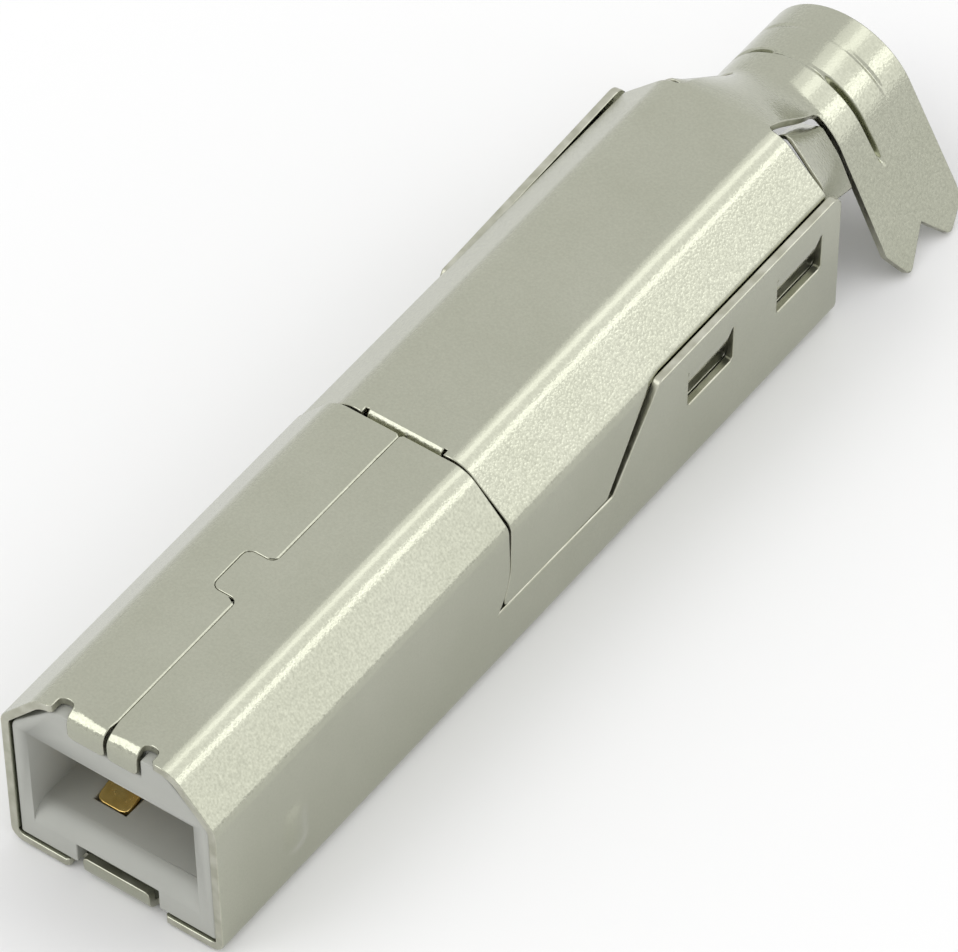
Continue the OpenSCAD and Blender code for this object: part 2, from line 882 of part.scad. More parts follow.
// Solder block with a rib on each side of every tail
module solder_block() {
    half = cavity_mid_z - contact_run_z - contact_t / 2 - contact_gap + solder_rib_h;
    translate([-solder_block_w / 2, insulator_len - joint_lap, cavity_mid_z - half])
        cube([solder_block_w, solder_block_len + joint_lap, 2 * half]);
}

// Rounded lead-in at the cavity's lower front edge
module lead_in() {
    along_x(-cavity_w / 2, cavity_w / 2)
        difference() {
            translate([insulator_front_y - cut_past, cavity_floor_z - lead_in_r])
                square([cut_past + lead_in_r, lead_in_r + joint_lap]);
            translate([insulator_front_y + lead_in_r, cavity_floor_z - lead_in_r])
                circle(r = lead_in_r);
        }
}

module tab_pocket() {
    half = bottom_tab_w / 2 + tab_pocket_gap;
    translate([-half, -cut_past, -cut_past])
        cube([
            2 * half,
            cut_past + insulator_front_y + tab_pocket_depth,
            cut_past + bottom_tab_rise + tab_pocket_gap
        ]);
}

// Pocket in the insulator's front that clears the two top tabs and their bends
module top_tab_pocket() {
    half = top_tab_x + top_pocket_gap;
    translate([-half, -cut_past, shell_h - top_tab_drop - top_pocket_gap])
        cube([2 * half, cut_past + tab_bend_r + top_pocket_gap, shell_h]);
}

// Step in the insulator's top that takes the cover's tongue
module tongue_recess() {
    half = tongue_w / 2 + insulator_gap;
    floor_z = shell_h - tongue_drop - sheet_t - insulator_gap;
    front_y = tube_len - tongue_len - insulator_gap;
    translate([-half, front_y, floor_z])
        cube([2 * half, base_len, shell_h]);
}

module insulator() {
    color("white")
        in_frame()
            difference() {
                union() {
                    along_y(insulator_front_y, insulator_len)
                        insulator_section();
                    solder_block();
                }
                translate([-cavity_w / 2, -cut_past, cavity_floor_z])
                    cube([cavity_w, cavity_depth + cut_past, cavity_h]);
                lead_in();
                tab_pocket();
                top_tab_pocket();
                tongue_recess();
                both_rows() {
                    contact_channel(-contact_pitch / 2, contact_tip_y);
                    contact_channel(contact_pitch / 2, contact_tip_y + data_setback);
                }
                // Floors of the solder tails, open to the outside
                for (side = [-1, 1])
                    both_rows()
                        translate([
                            side * contact_pitch / 2 - contact_w / 2 - contact_gap,
                            insulator_len,
                            -shell_h
                        ])
                            cube([
                                contact_w + 2 * contact_gap,
                                shell_h,
                                shell_h + contact_run_z + contact_t / 2 + contact_gap
                            ]);
            }
}

// Contacts

module contact(side, setback) {
    x = side * contact_pitch / 2;
    color("gold")
        in_frame()
            along_x(x - contact_w / 2, x + contact_w / 2)
                bent_strip(contact_path(setback), [0, bow_foot_r, bow_crest_r, 0], contact_t);
}

module upper_contact(side, setback) {
    x = side * contact_pitch / 2;
    color("gold")
        in_frame()
            upper_row()
                along_x(x - contact_w / 2, x + contact_w / 2)
                    bent_strip(contact_path(setback), [0, bow_foot_r, bow_crest_r, 0], contact_t);
}

base_shell();
top_cover();
insulator();
upper_contact(-1, 0);  // contact_power_upper
contact(-1, 0);  // contact_power_lower
upper_contact(1, data_setback);  // contact_data_upper
contact(1, data_setback);  // contact_data_lower
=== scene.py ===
"""Looks of a solder-type square data plug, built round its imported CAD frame."""

import logging
import math
from collections import Counter
from dataclasses import dataclass
from enum import Enum
from typing import Any, Callable, ClassVar, Iterable, Sequence

import bmesh
import bpy
import numpy as np
from mathutils import Matrix, Vector
from mathutils.geometry import delaunay_2d_cdt


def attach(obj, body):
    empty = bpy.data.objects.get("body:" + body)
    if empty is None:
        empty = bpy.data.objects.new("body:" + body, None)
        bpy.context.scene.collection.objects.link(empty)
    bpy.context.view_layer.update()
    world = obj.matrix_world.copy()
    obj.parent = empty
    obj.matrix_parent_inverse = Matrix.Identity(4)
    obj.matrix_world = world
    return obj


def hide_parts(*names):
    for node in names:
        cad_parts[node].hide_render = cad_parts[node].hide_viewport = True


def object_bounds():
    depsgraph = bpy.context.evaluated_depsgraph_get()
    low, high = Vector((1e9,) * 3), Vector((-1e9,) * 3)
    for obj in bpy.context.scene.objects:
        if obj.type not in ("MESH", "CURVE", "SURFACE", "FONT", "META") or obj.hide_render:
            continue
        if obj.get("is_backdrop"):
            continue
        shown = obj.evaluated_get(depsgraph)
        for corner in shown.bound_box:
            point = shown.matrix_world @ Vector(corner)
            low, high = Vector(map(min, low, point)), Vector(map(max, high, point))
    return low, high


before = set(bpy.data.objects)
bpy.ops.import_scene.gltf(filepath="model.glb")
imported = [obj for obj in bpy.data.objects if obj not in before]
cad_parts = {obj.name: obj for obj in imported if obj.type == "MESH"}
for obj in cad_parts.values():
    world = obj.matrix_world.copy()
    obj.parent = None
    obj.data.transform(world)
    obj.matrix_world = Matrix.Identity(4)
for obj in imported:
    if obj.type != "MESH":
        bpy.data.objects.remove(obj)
CAD_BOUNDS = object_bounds()

# Sizes are in millimetres until a piece is baked. Heights are measured from the plug's lower face.
MM = 0.001
SHELL_HEIGHT = 7.26
TO_CAMERA = Vector((0.409, -0.528, 0.744)).normalized()
TINY = 1e-4
SLIVER = 1e-3
NEARBY = 0.02
ARC_STEP = 0.12
SHORTEST_EDGE = 0.1
ROOM_BATCH = 256
TOE_POINTS = 9
ROUNDING_SEGMENTS = 2

logging.basicConfig(level=logging.INFO, format="%(message)s")
log = logging.getLogger("plug")

Color = tuple[float, float, float]
Point = tuple[float, float]
Span = tuple[float, float]
Corner = tuple[float, float, float]
Outline = list[Point]
Faces = list[tuple[int, ...]]
Material = bpy.types.Material
Mesh = bpy.types.Mesh
Object = bpy.types.Object
Socket = bpy.types.NodeSocket


class Side(Enum):
    """The two long sides of the plug."""

    NEAR = 1
    FAR = -1


# Shaping helpers


def ease(t: float) -> float:
    """Ease a value from 0 to 1 in and out, clamped at both ends."""
    t = min(max(t, 0.0), 1.0)
    return t * t * (3 - 2 * t)


def blend(a: float, b: float, t: float) -> float:
    """Mix two values."""
    return a + (b - a) * t


def fillet(
    a: Sequence[float], b: Sequence[float], c: Sequence[float], radius: float, steps: int | None = None
) -> Outline:
    """Round one corner of a path.

    Args:
        a: Point before the corner.
        b: The corner.
        c: Point after the corner.
        radius: Radius of the rounding, or 0 for a sharp corner.
        steps: Number of steps along the arc, or none to follow the arc's length.

    Returns:
        The points that take the corner's place.
    """
    corner = Vector(b[:2])
    if radius <= 0:
        return [tuple(corner)]
    back = (Vector(a[:2]) - corner).normalized()
    ahead = (Vector(c[:2]) - corner).normalized()
    half = back.angle(ahead) / 2
    center = corner + (back + ahead).normalized() * radius / math.sin(half)
    first = corner + back * radius / math.tan(half) - center
    last = corner + ahead * radius / math.tan(half) - center
    turn = math.atan2(first.x * last.y - first.y * last.x, first.dot(last))
    count = steps or max(1, round(radius * abs(turn) / ARC_STEP))
    return [tuple(center + Matrix.Rotation(turn * k / count, 2) @ first) for k in range(count + 1)]


def rounded(corners: Sequence[Corner]) -> Outline:
    """Close an outline with rounded corners.

    Args:
        corners: Corners, each with its radius.

    Returns:
        The outline's points.
    """
    around = [*corners[-1:], *corners, *corners[:1]]
    return [p for a, b, c in zip(around, around[1:], around[2:]) for p in fillet(a, b, c, b[2])]


def turned(path: Sequence[Corner]) -> Outline:
    """Round the inner corners of an open path.

    Args:
        path: Start, corners with their radii, and end.

    Returns:
        The path's points.
    """
    turns = [p for a, b, c in zip(path, path[1:], path[2:]) for p in fillet(a, b, c, b[2])]
    return [tuple(path[0][:2]), *turns, tuple(path[-1][:2])]


def divided(values: Iterable[float], gap: float) -> list[float]:
    """Fill in the values of a sorted list so that no gap is wider than a given one.

    Args:
        values: Values in any order.
        gap: Widest gap.

    Returns:
        The sorted and filled list.
    """
    marks = sorted(values)
    filled = []
    for a, b in zip(marks, marks[1:]):
        count = max(1, math.ceil((b - a) / gap - TINY))
        filled += [blend(a, b, k / count) for k in range(count)]
    return filled + marks[-1:]


def spaced(values: Iterable[float], gap: float) -> list[float]:
    """Leave out the values of a list that lie closer than a gap to the one before.

    Args:
        values: Values in any order.
        gap: Smallest gap.

    Returns:
        The sorted and thinned list.
    """
    kept: list[float] = []
    for value in sorted(values):
        if not kept or value - kept[-1] > gap:
            kept.append(value)
    return kept


class Profile:
    """Path with rounded bends, measured from its start along the sheet."""

    def __init__(self, corners: Sequence[Corner], steps: int = 8) -> None:
        """Lay out the path.

        Args:
            corners: Start, bends with their radii, and end.
            steps: Number of steps along each bend.
        """
        path: Outline = [corners[0][:2]]
        for a, b, c in zip(corners, corners[1:], corners[2:]):
            path += fillet(a, b, c, b[2], steps)
        self.points = np.array([*path, corners[-1][:2]])
        runs = np.linalg.norm(np.diff(self.points, axis=0), axis=1)
        self.marks = np.concatenate([[0.0], np.cumsum(runs)])

    @property
    def length(self) -> float:
        """Length of the path."""
        return float(self.marks[-1])

    def at(self, distance: float) -> Point:
        """Point on the path, which runs straight on past its ends.

        Args:
            distance: Distance from the path's start.

        Returns:
            The point's two coordinates.
        """
        i = int(np.clip(np.searchsorted(self.marks, distance) - 1, 0, len(self.marks) - 2))
        t = (distance - self.marks[i]) / (self.marks[i + 1] - self.marks[i])
        first, second = self.points[i], self.points[i + 1]
        return float(blend(first[0], second[0], t)), float(blend(first[1], second[1], t))

    def where(self, axis: int, value: float) -> float:
        """Distance at which the path first passes a coordinate.

        Args:
            axis: 0 for the first coordinate and 1 for the second.
            value: The coordinate.

        Returns:
            The distance from the path's start.
        """
        line = self.points[:, axis] - value
        i = int(np.flatnonzero((line[:-1] * line[1:] <= 0) & (line[:-1] != line[1:]))[0])
        return float(blend(self.marks[i], self.marks[i + 1], line[i] / (line[i] - line[i + 1])))


class Blank:
    """Flat stamped sheet before it is folded, made of outlines that are added and cut in turn."""

    def __init__(
        self, rows: Iterable[float], columns: Iterable[float], creases: Iterable[float] = (), clear: float = 0.13
    ) -> None:
        """Start with an empty sheet.

        Args:
            rows: Places across the sheet that get a line of points and divide the outlines.
            columns: Places along the sheet that get a line of points.
            creases: Places along the sheet that divide the outlines.
            clear: Distance that the points keep from every outline.
        """
        self.rows = sorted(rows)
        self.columns = sorted(columns)
        self.creases = sorted(creases)
        self.clear = clear
        self.steps: list[tuple[np.ndarray, bool]] = []
        self.spots: list[Point] = []

    def add(self, outline: Sequence[Point]) -> None:
        """Add the inside of an outline to the sheet."""
        self.steps.append((self._split(outline), True))

    def cut(self, outline: Sequence[Point]) -> None:
        """Cut the inside of an outline out of the sheet."""
        self.steps.append((self._split(outline), False))

    def _split(self, outline: Sequence[Point], longest: float = 1.0) -> np.ndarray:
        """Split an outline's edges where they cross a row or a crease, and where they are long.

        Args:
            outline: Corners of the outline.
            longest: Longest edge.

        Returns:
            All points of the split outline.
        """
        points = []
        for a, b in zip(outline, [*outline[1:], outline[0]]):
            size = math.dist(a, b)
            if size < TINY:
                continue
            marks = [0.0, 1.0]
            for axis, lines in enumerate((self.rows, self.creases)):
                start, end = a[axis], b[axis]
                marks += [(v - start) / (end - start) for v in lines if (v - start) * (v - end) < 0]
            last = -1.0
            for t in divided(marks, longest / size)[:-1]:
                if t == 0 or min(t - last, 1 - t) * size > SHORTEST_EDGE:
                    points.append((blend(a[0], b[0], t), blend(a[1], b[1], t)))
                    last = t
        return np.array(points)

    def holds(self, points: np.ndarray) -> np.ndarray:
        """Tell which points lie on the sheet.

        Args:
            points: Points to test.

        Returns:
            One truth value per point.
        """
        state = np.zeros(len(points), bool)
        for outline, solid in self.steps:
            inside = np.zeros(len(points), bool)
            for (ax, ay), (bx, by) in zip(outline, np.roll(outline, -1, axis=0)):
                if ay != by:
                    across = (ay > points[:, 1]) != (by > points[:, 1])
                    inside ^= across & (points[:, 0] < (bx - ax) * (points[:, 1] - ay) / (by - ay) + ax)
            state[inside] = solid
        return state

    def _room(self, points: np.ndarray) -> np.ndarray:
        """Measure how much room there is around points.

        Args:
            points: Points to test.

        Returns:
            Distance from each point to the nearest outline.
        """
        starts = np.concatenate([outline for outline, _ in self.steps])
        spans = np.concatenate([np.roll(outline, -1, axis=0) - outline for outline, _ in self.steps])
        room = np.empty(len(points))
        for i in range(0, len(points), ROOM_BATCH):
            batch = slice(i, i + ROOM_BATCH)
            offset = points[batch, None, :] - starts
            along = np.clip((offset * spans).sum(2) / (spans**2).sum(1), 0, 1)
            room[batch] = np.linalg.norm(offset - along[..., None] * spans, axis=2).min(1)
        return room

    @staticmethod
    def _trimmed(flat: np.ndarray, faces: Faces) -> Faces:
        """Leave out the triangles along the rim that have next to no height.

        Args:
            flat: The flat points.
            faces: Triangles between them.

        Returns:
            The triangles that are worth keeping.
        """
        around = {f: [tuple(sorted(pair)) for pair in zip(f, f[1:] + f[:1])] for f in faces}
        uses = Counter(pair for pairs in around.values() for pair in pairs)
        thin = []
        for face in faces:
            a, b, c = (Vector(flat[i]) for i in face)
            span = max((b - a).length, (c - b).length, (a - c).length)
            if abs((b - a).cross(c - a)) < SLIVER * span:
                thin.append(face)
        while loose := [f for f in thin if any(uses[pair] == 1 for pair in around.get(f, ()))]:
            for face in loose:
                uses.subtract(around.pop(face))
        return list(around)

    def mesh(self) -> tuple[np.ndarray, Faces]:
        """Fill the sheet with triangles.

        Returns:
            The flat points and the triangles between them.
        """
        corners = np.concatenate([outline for outline, _ in self.steps])
        edges, first = [], 0
        for outline, _ in self.steps:
            count = len(outline)
            edges += [(first + i, first + (i + 1) % count) for i in range(count)]
            first += count
        grid = np.array([*self.spots, *((s, y) for s in self.rows for y in self.columns)])
        grid = grid[self.holds(grid)]
        grid = grid[self._room(grid) > self.clear]
        everything = [Vector(p) for p in np.concatenate([corners, grid])]
        points, _, faces, *_ = delaunay_2d_cdt(everything, edges, [], 0, TINY)
        flat = np.array([tuple(p) for p in points])
        kept = self.holds(np.array([flat[list(f)].mean(0) for f in faces]))
        faces = self._trimmed(flat, [tuple(f) for f, keep in zip(faces, kept) if keep])
        used = sorted({i for f in faces for i in f})
        place = {old: new for new, old in enumerate(used)}
        return flat[used], [tuple(place[i] for i in f) for f in faces]


# Finishes


class NodeGraph:
    """Adds and joins the nodes of one tree."""

    def __init__(self, tree: bpy.types.NodeTree) -> None:
        """Start with an empty tree.

        Args:
            tree: Tree to fill.
        """
        self.tree = tree
        tree.nodes.clear()

    def add(self, kind: str, *first: Any, **values: Any) -> bpy.types.Node:
        """Add a node and set its properties and its inputs.

        Args:
            kind: Type name of the node.
            *first: Values or sockets for the node's first inputs, in order.
            **values: Value, socket or list of sockets per input, spaces as underscores, or a property's value.

        Returns:
            The new node.
        """
        node = self.tree.nodes.new(kind)
        inputs = list(zip(node.inputs, first))
        for key, value in values.items():
            if hasattr(node, key):
                setattr(node, key, value)
            else:
                inputs.append((node.inputs[key.replace("_", " ")], value))
        for socket, value in inputs:
            for source in value if isinstance(value, list) else [value]:
                if isinstance(source, Socket):
                    self.tree.links.new(source, socket)
                else:
                    socket.default_value = source
        return node


class ShaderGraph(NodeGraph):
    """Adds and joins the nodes of one material."""

    def __init__(self, name: str) -> None:
        """Start an empty material.

        Args:
            name: Name of the material.
        """
        self.material = bpy.data.materials.new(name)
        self.material.use_nodes = True
        super().__init__(self.material.node_tree)

    def noise(self, size: float, detail: float = 2.0) -> Socket:
        """Noise in the piece's own coordinates, with grains of a size and a number of finer octaves."""
        place = self.add("ShaderNodeTexCoord").outputs["Object"]
        return self.add("ShaderNodeTexNoise", Vector=place, Scale=1 / (size * MM), Detail=detail).outputs[0]

    def ramp(self, factor: Socket, low: Sequence[float], high: Sequence[float]) -> Socket:
        """Colour between two ends.

        Args:
            factor: Socket that runs from 0 to 1.
            low: Position and colour at the low end.
            high: Position and colour at the high end.

        Returns:
            The colour socket.
        """
        node = self.add("ShaderNodeValToRGB", Fac=factor)
        for element, (position, *color) in zip(node.color_ramp.elements, (low, high)):
            element.position = position
            element.color = (*color, 1)
        return node.outputs["Color"]

    def spread(self, factor: Socket, low: float, high: float) -> Socket:
        """Map a 0 to 1 socket onto a range."""
        return self.add("ShaderNodeMapRange", Value=factor, To_Min=low, To_Max=high).outputs[0]

    def band(self, factor: Socket, low: float, high: float, soft: float) -> Socket:
        """Pick out a range of values.

        Args:
            factor: Socket to test.
            low: Start of the range.
            high: End of the range.
            soft: Width over which the range fades in and out.

        Returns:
            A socket that is 1 in the range and 0 outside it.
        """
        rise = self.add("ShaderNodeMapRange", Value=factor, From_Min=low - soft, From_Max=low)
        fall = self.add("ShaderNodeMapRange", Value=factor, From_Min=high + soft, From_Max=high)
        return self.product(rise.outputs[0], fall.outputs[0])

    def product(self, first: Socket, second: Socket, offset: float = 0.0) -> Socket:
        """Multiply two sockets and add a constant."""
        return self.add("ShaderNodeMath", first, second, offset, operation="MULTIPLY_ADD").outputs[0]

    def bump(self, height: Socket, depth: float, strength: Socket | float = 1.0) -> Socket:
        """Normal of a relief of a real depth, from a height of 0 to 1 and the share of it that shows."""
        return self.add("ShaderNodeBump", Height=height, Strength=strength, Distance=depth * MM).outputs["Normal"]

    def surface(self, **values: Any) -> Material:
        """Finish the material with a principled surface.

        Args:
            **values: Inputs of the surface.

        Returns:
            The finished material.
        """
        shader = self.add("ShaderNodeBsdfPrincipled", **values)
        self.add("ShaderNodeOutputMaterial", Surface=shader.outputs[0])
        return self.material


@dataclass(frozen=True)
class Finish:
    """Look of a surface: two tones in patches, a spread of gloss and a fine relief."""

    name: str
    pale: Color
    dull: Color
    tone_size: float
    roughness: Span
    relief_size: float
    relief: float
    tone_range: Span = (0.3, 0.7)
    tone_detail: float = 2.0
    gloss_size: float = 0.15
    metallic: float = 1.0

    def tone(self, graph: ShaderGraph) -> Socket:
        """Colour of the patches."""
        low, high = self.tone_range
        return graph.ramp(graph.noise(self.tone_size, self.tone_detail), (low, *self.dull), (high, *self.pale))

    def material(self) -> Material:
        """Build the finish's material.

        Returns:
            The material.
        """
        graph = ShaderGraph(self.name)
        return graph.surface(
            Base_Color=self.tone(graph),
            Metallic=self.metallic,
            Roughness=graph.spread(graph.noise(self.gloss_size), *self.roughness),
            Normal=graph.bump(graph.noise(self.relief_size), self.relief),
        )


@dataclass(frozen=True)
class NickelPlate(Finish):
    """Satin nickel on rolled steel, with a fine grain in its relief and its colour, and painted glints: the colour
    grain is stronger where the sheet slopes.

    The slopes are given by how far the surface faces up. The last two pairs are for level and for sloping sheet.
    """

    name: str = "nickel_plate"
    pale: Color = (0.44, 0.447, 0.365)
    dull: Color = (0.416, 0.424, 0.341)
    tone_size: float = 2.5
    tone_detail: float = 3.0
    roughness: Span = (0.14, 0.2)
    relief_size: float = 0.085
    relief_detail: float = 1.0
    relief: float = 0.0075
    slopes: Span = (0.55, 0.78)
    slope_blur: float = 0.2
    relief_shares: Span = (0.3, 1.0)
    # Share of the colour grain on level and on sloping sheet; the larger share on slopes is a painted glint sparkle
    grain_and_glint_shares: Span = (0.16, 0.6)

    def material(self) -> Material:
        """Build the plate's material.

        Returns:
            The material.
        """
        graph = ShaderGraph(self.name)
        grain = graph.noise(self.relief_size, self.relief_detail)
        facing = graph.add("ShaderNodeTexCoord").outputs["Normal"]
        upward = graph.add("ShaderNodeSeparateXYZ", Vector=facing).outputs["Z"]
        sloping = graph.band(upward, *self.slopes, self.slope_blur)
        centred = graph.spread(grain, -0.5, 0.5)
        # Painted glints: the grain lightens and darkens the colour more where the sheet slopes
        grain_and_glints = graph.product(centred, graph.spread(sloping, *self.grain_and_glint_shares), 1.0)
        tone = graph.add("ShaderNodeVectorMath", operation="SCALE", Vector=self.tone(graph), Scale=grain_and_glints)
        return graph.surface(
            Base_Color=tone.outputs[0],
            Metallic=self.metallic,
            Roughness=graph.spread(grain, *self.roughness),
            Normal=graph.bump(grain, self.relief, graph.spread(sloping, *self.relief_shares)),
        )


@dataclass(frozen=True)
class CutEdge(Finish):
    """Bare sheared steel along the cut edges of the sheet."""

    name: str = "cut_edge"
    pale: Color = (0.52, 0.52, 0.44)
    dull: Color = (0.4, 0.4, 0.32)
    tone_size: float = 0.6
    gloss_size: float = 0.6
    roughness: Span = (0.25, 0.4)
    relief_size: float = 0.15
    relief: float = 0.003
    tone_range: Span = (0.35, 0.65)


@dataclass(frozen=True)
class MouldedPlastic(Finish):
    """White moulded plastic with a faint texture."""

    name: str = "moulded_plastic"
    pale: Color = (0.415, 0.422, 0.385)
    dull: Color = (0.39425, 0.4009, 0.36575)
    tone_size: float = 1.5
    gloss_size: float = 0.2
    roughness: Span = (0.4, 0.55)
    relief_size: float = 0.12
    relief: float = 0.002
    metallic: float = 0.0


@dataclass(frozen=True)
class GoldFlash(Finish):
    """Thin gold over a stamped contact spring."""

    name: str = "gold_flash"
    pale: Color = (0.95, 0.7, 0.27)
    dull: Color = (0.8, 0.54, 0.16)
    tone_size: float = 0.6
    roughness: Span = (0.18, 0.32)
    relief_size: float = 0.1
    relief: float = 0.001


@dataclass(frozen=True)
class Finishes:
    """The materials that the pieces share."""

    nickel: Material
    edge: Material
    plastic: Material
    gold: Material

    @classmethod
    def mixed(cls) -> "Finishes":
        """Build every material once."""
        return cls(*(finish().material() for finish in (NickelPlate, CutEdge, MouldedPlastic, GoldFlash)))


# Pieces


def evaluated(worker: Object) -> Mesh:
    """Copy an object's mesh with its modifiers applied.

    Args:
        worker: Object with its modifiers.

    Returns:
        The new mesh.
    """
    graph = bpy.context.evaluated_depsgraph_get()
    final = worker.evaluated_get(graph)
    return bpy.data.meshes.new_from_object(final, preserve_all_data_layers=True, depsgraph=graph)


def placed(name: str, data: bpy.types.ID) -> Object:
    """Put a mesh, a light or a camera into the scene.

    Args:
        name: Name of the object.
        data: What the object shows.

    Returns:
        The new object.
    """
    thing = bpy.data.objects.new(name, data)
    bpy.context.scene.collection.objects.link(thing)
    return thing


def bake(worker: Object, name: str) -> Object:
    """Turn a worked object in millimetres into a finished piece.

    Args:
        worker: Object with its modifiers.
        name: Name of the piece.

    Returns:
        The piece, with a plain mesh in metres.
    """
    mesh = evaluated(worker)
    bpy.data.objects.remove(worker)
    mesh.transform(Matrix.Scale(MM, 4))
    mesh.name = name
    log.info("%s: %d faces", name, len(mesh.polygons))
    return placed(name, mesh)


def mark_rims(worker: Object, roundness: Callable[[Vector], float]) -> None:
    """Apply an object's modifiers and mark the edges between its faces and its cut rims.

    Args:
        worker: Object to work on.
        roundness: Share of the full rounding that the edge at a place gets.
    """
    mesh = evaluated(worker)
    worker.modifiers.clear()
    worker.data = mesh
    work = bmesh.new()
    work.from_mesh(mesh)
    weight = work.edges.layers.float.new("bevel_weight_edge")
    for edge in work.edges:
        if len({face.material_index for face in edge.link_faces}) == 2:
            edge[weight] = roundness((edge.verts[0].co + edge.verts[1].co) / 2)
    work.to_mesh(mesh)
    work.free()


def soften(worker: Object, width: float) -> None:
    """Round an object's marked edges and even out its shading.

    Args:
        worker: Object to work on.
        width: Width of the rounding.
    """
    bevel = worker.modifiers.new("rounding", "BEVEL")
    bevel.width = width
    bevel.segments = ROUNDING_SEGMENTS
    bevel.limit_method = "WEIGHT"
    bevel.use_clamp_overlap = False
    bevel.face_strength_mode = "FSTR_ALL"
    even = worker.modifiers.new("even_shading", "WEIGHTED_NORMAL")
    even.keep_sharp = True
    even.use_face_influence = True


class FoldedSheet:
    """A stamped blank that is folded into shape and given its thickness."""

    name: ClassVar[str] = ""
    thickness: ClassVar[float] = 0.3
    rounding: ClassVar[float] = 0.05
    outward: ClassVar[int] = 1
    offset: ClassVar[float] = -1.0
    extra_thickness: ClassVar[float] = 0.5

    def blank(self) -> Blank:
        """The flat sheet."""
        raise NotImplementedError

    def fold(self, across: float, along: float) -> Vector:
        """Place of a flat point in the folded piece.

        Args:
            across: Distance across the flat sheet.
            along: Distance along the plug.

        Returns:
            The place in the plug.
        """
        raise NotImplementedError

    def extra(self) -> list[tuple[list[Vector], Faces]]:
        """Sheets that are shaped by a grid instead of folded."""
        return []

    def roundness(self, place: Vector) -> float:
        """Share of the full rounding that a cut edge gets at a place."""
        return 1.0

    def worker(self, finishes: Sequence[Material]) -> Object:
        """Fold the sheet and give it its thickness.

        Args:
            finishes: Material of the faces, and of the cut edges.

        Returns:
            An object in millimetres with its modifiers.
        """
        flat, faces = self.blank().mesh()
        points = [self.fold(*p) for p in flat]
        faces = [f[:: self.outward] for f in faces]
        shares = [1.0] * len(points)
        for grid, quads in self.extra():
            faces += [tuple(i + len(points) for i in q) for q in quads]
            points += grid
            shares += [self.extra_thickness] * len(grid)
        mesh = bpy.data.meshes.new(self.name)
        mesh.from_pydata(points, [], faces)
        for finish in finishes:
            mesh.materials.append(finish)
        mesh.shade_smooth()
        worker = placed(self.name, mesh)
        share = worker.vertex_groups.new(name="thickness")
        for i, value in enumerate(shares):
            share.add([i], value, "REPLACE")
        body = worker.modifiers.new("thickness", "SOLIDIFY")
        body.vertex_group = share.name
        body.thickness = self.thickness
        body.offset = self.offset
        body.use_quality_normals = True
        body.material_offset_rim = 1
        mark_rims(worker, self.roundness)
        soften(worker, self.rounding)
        return worker


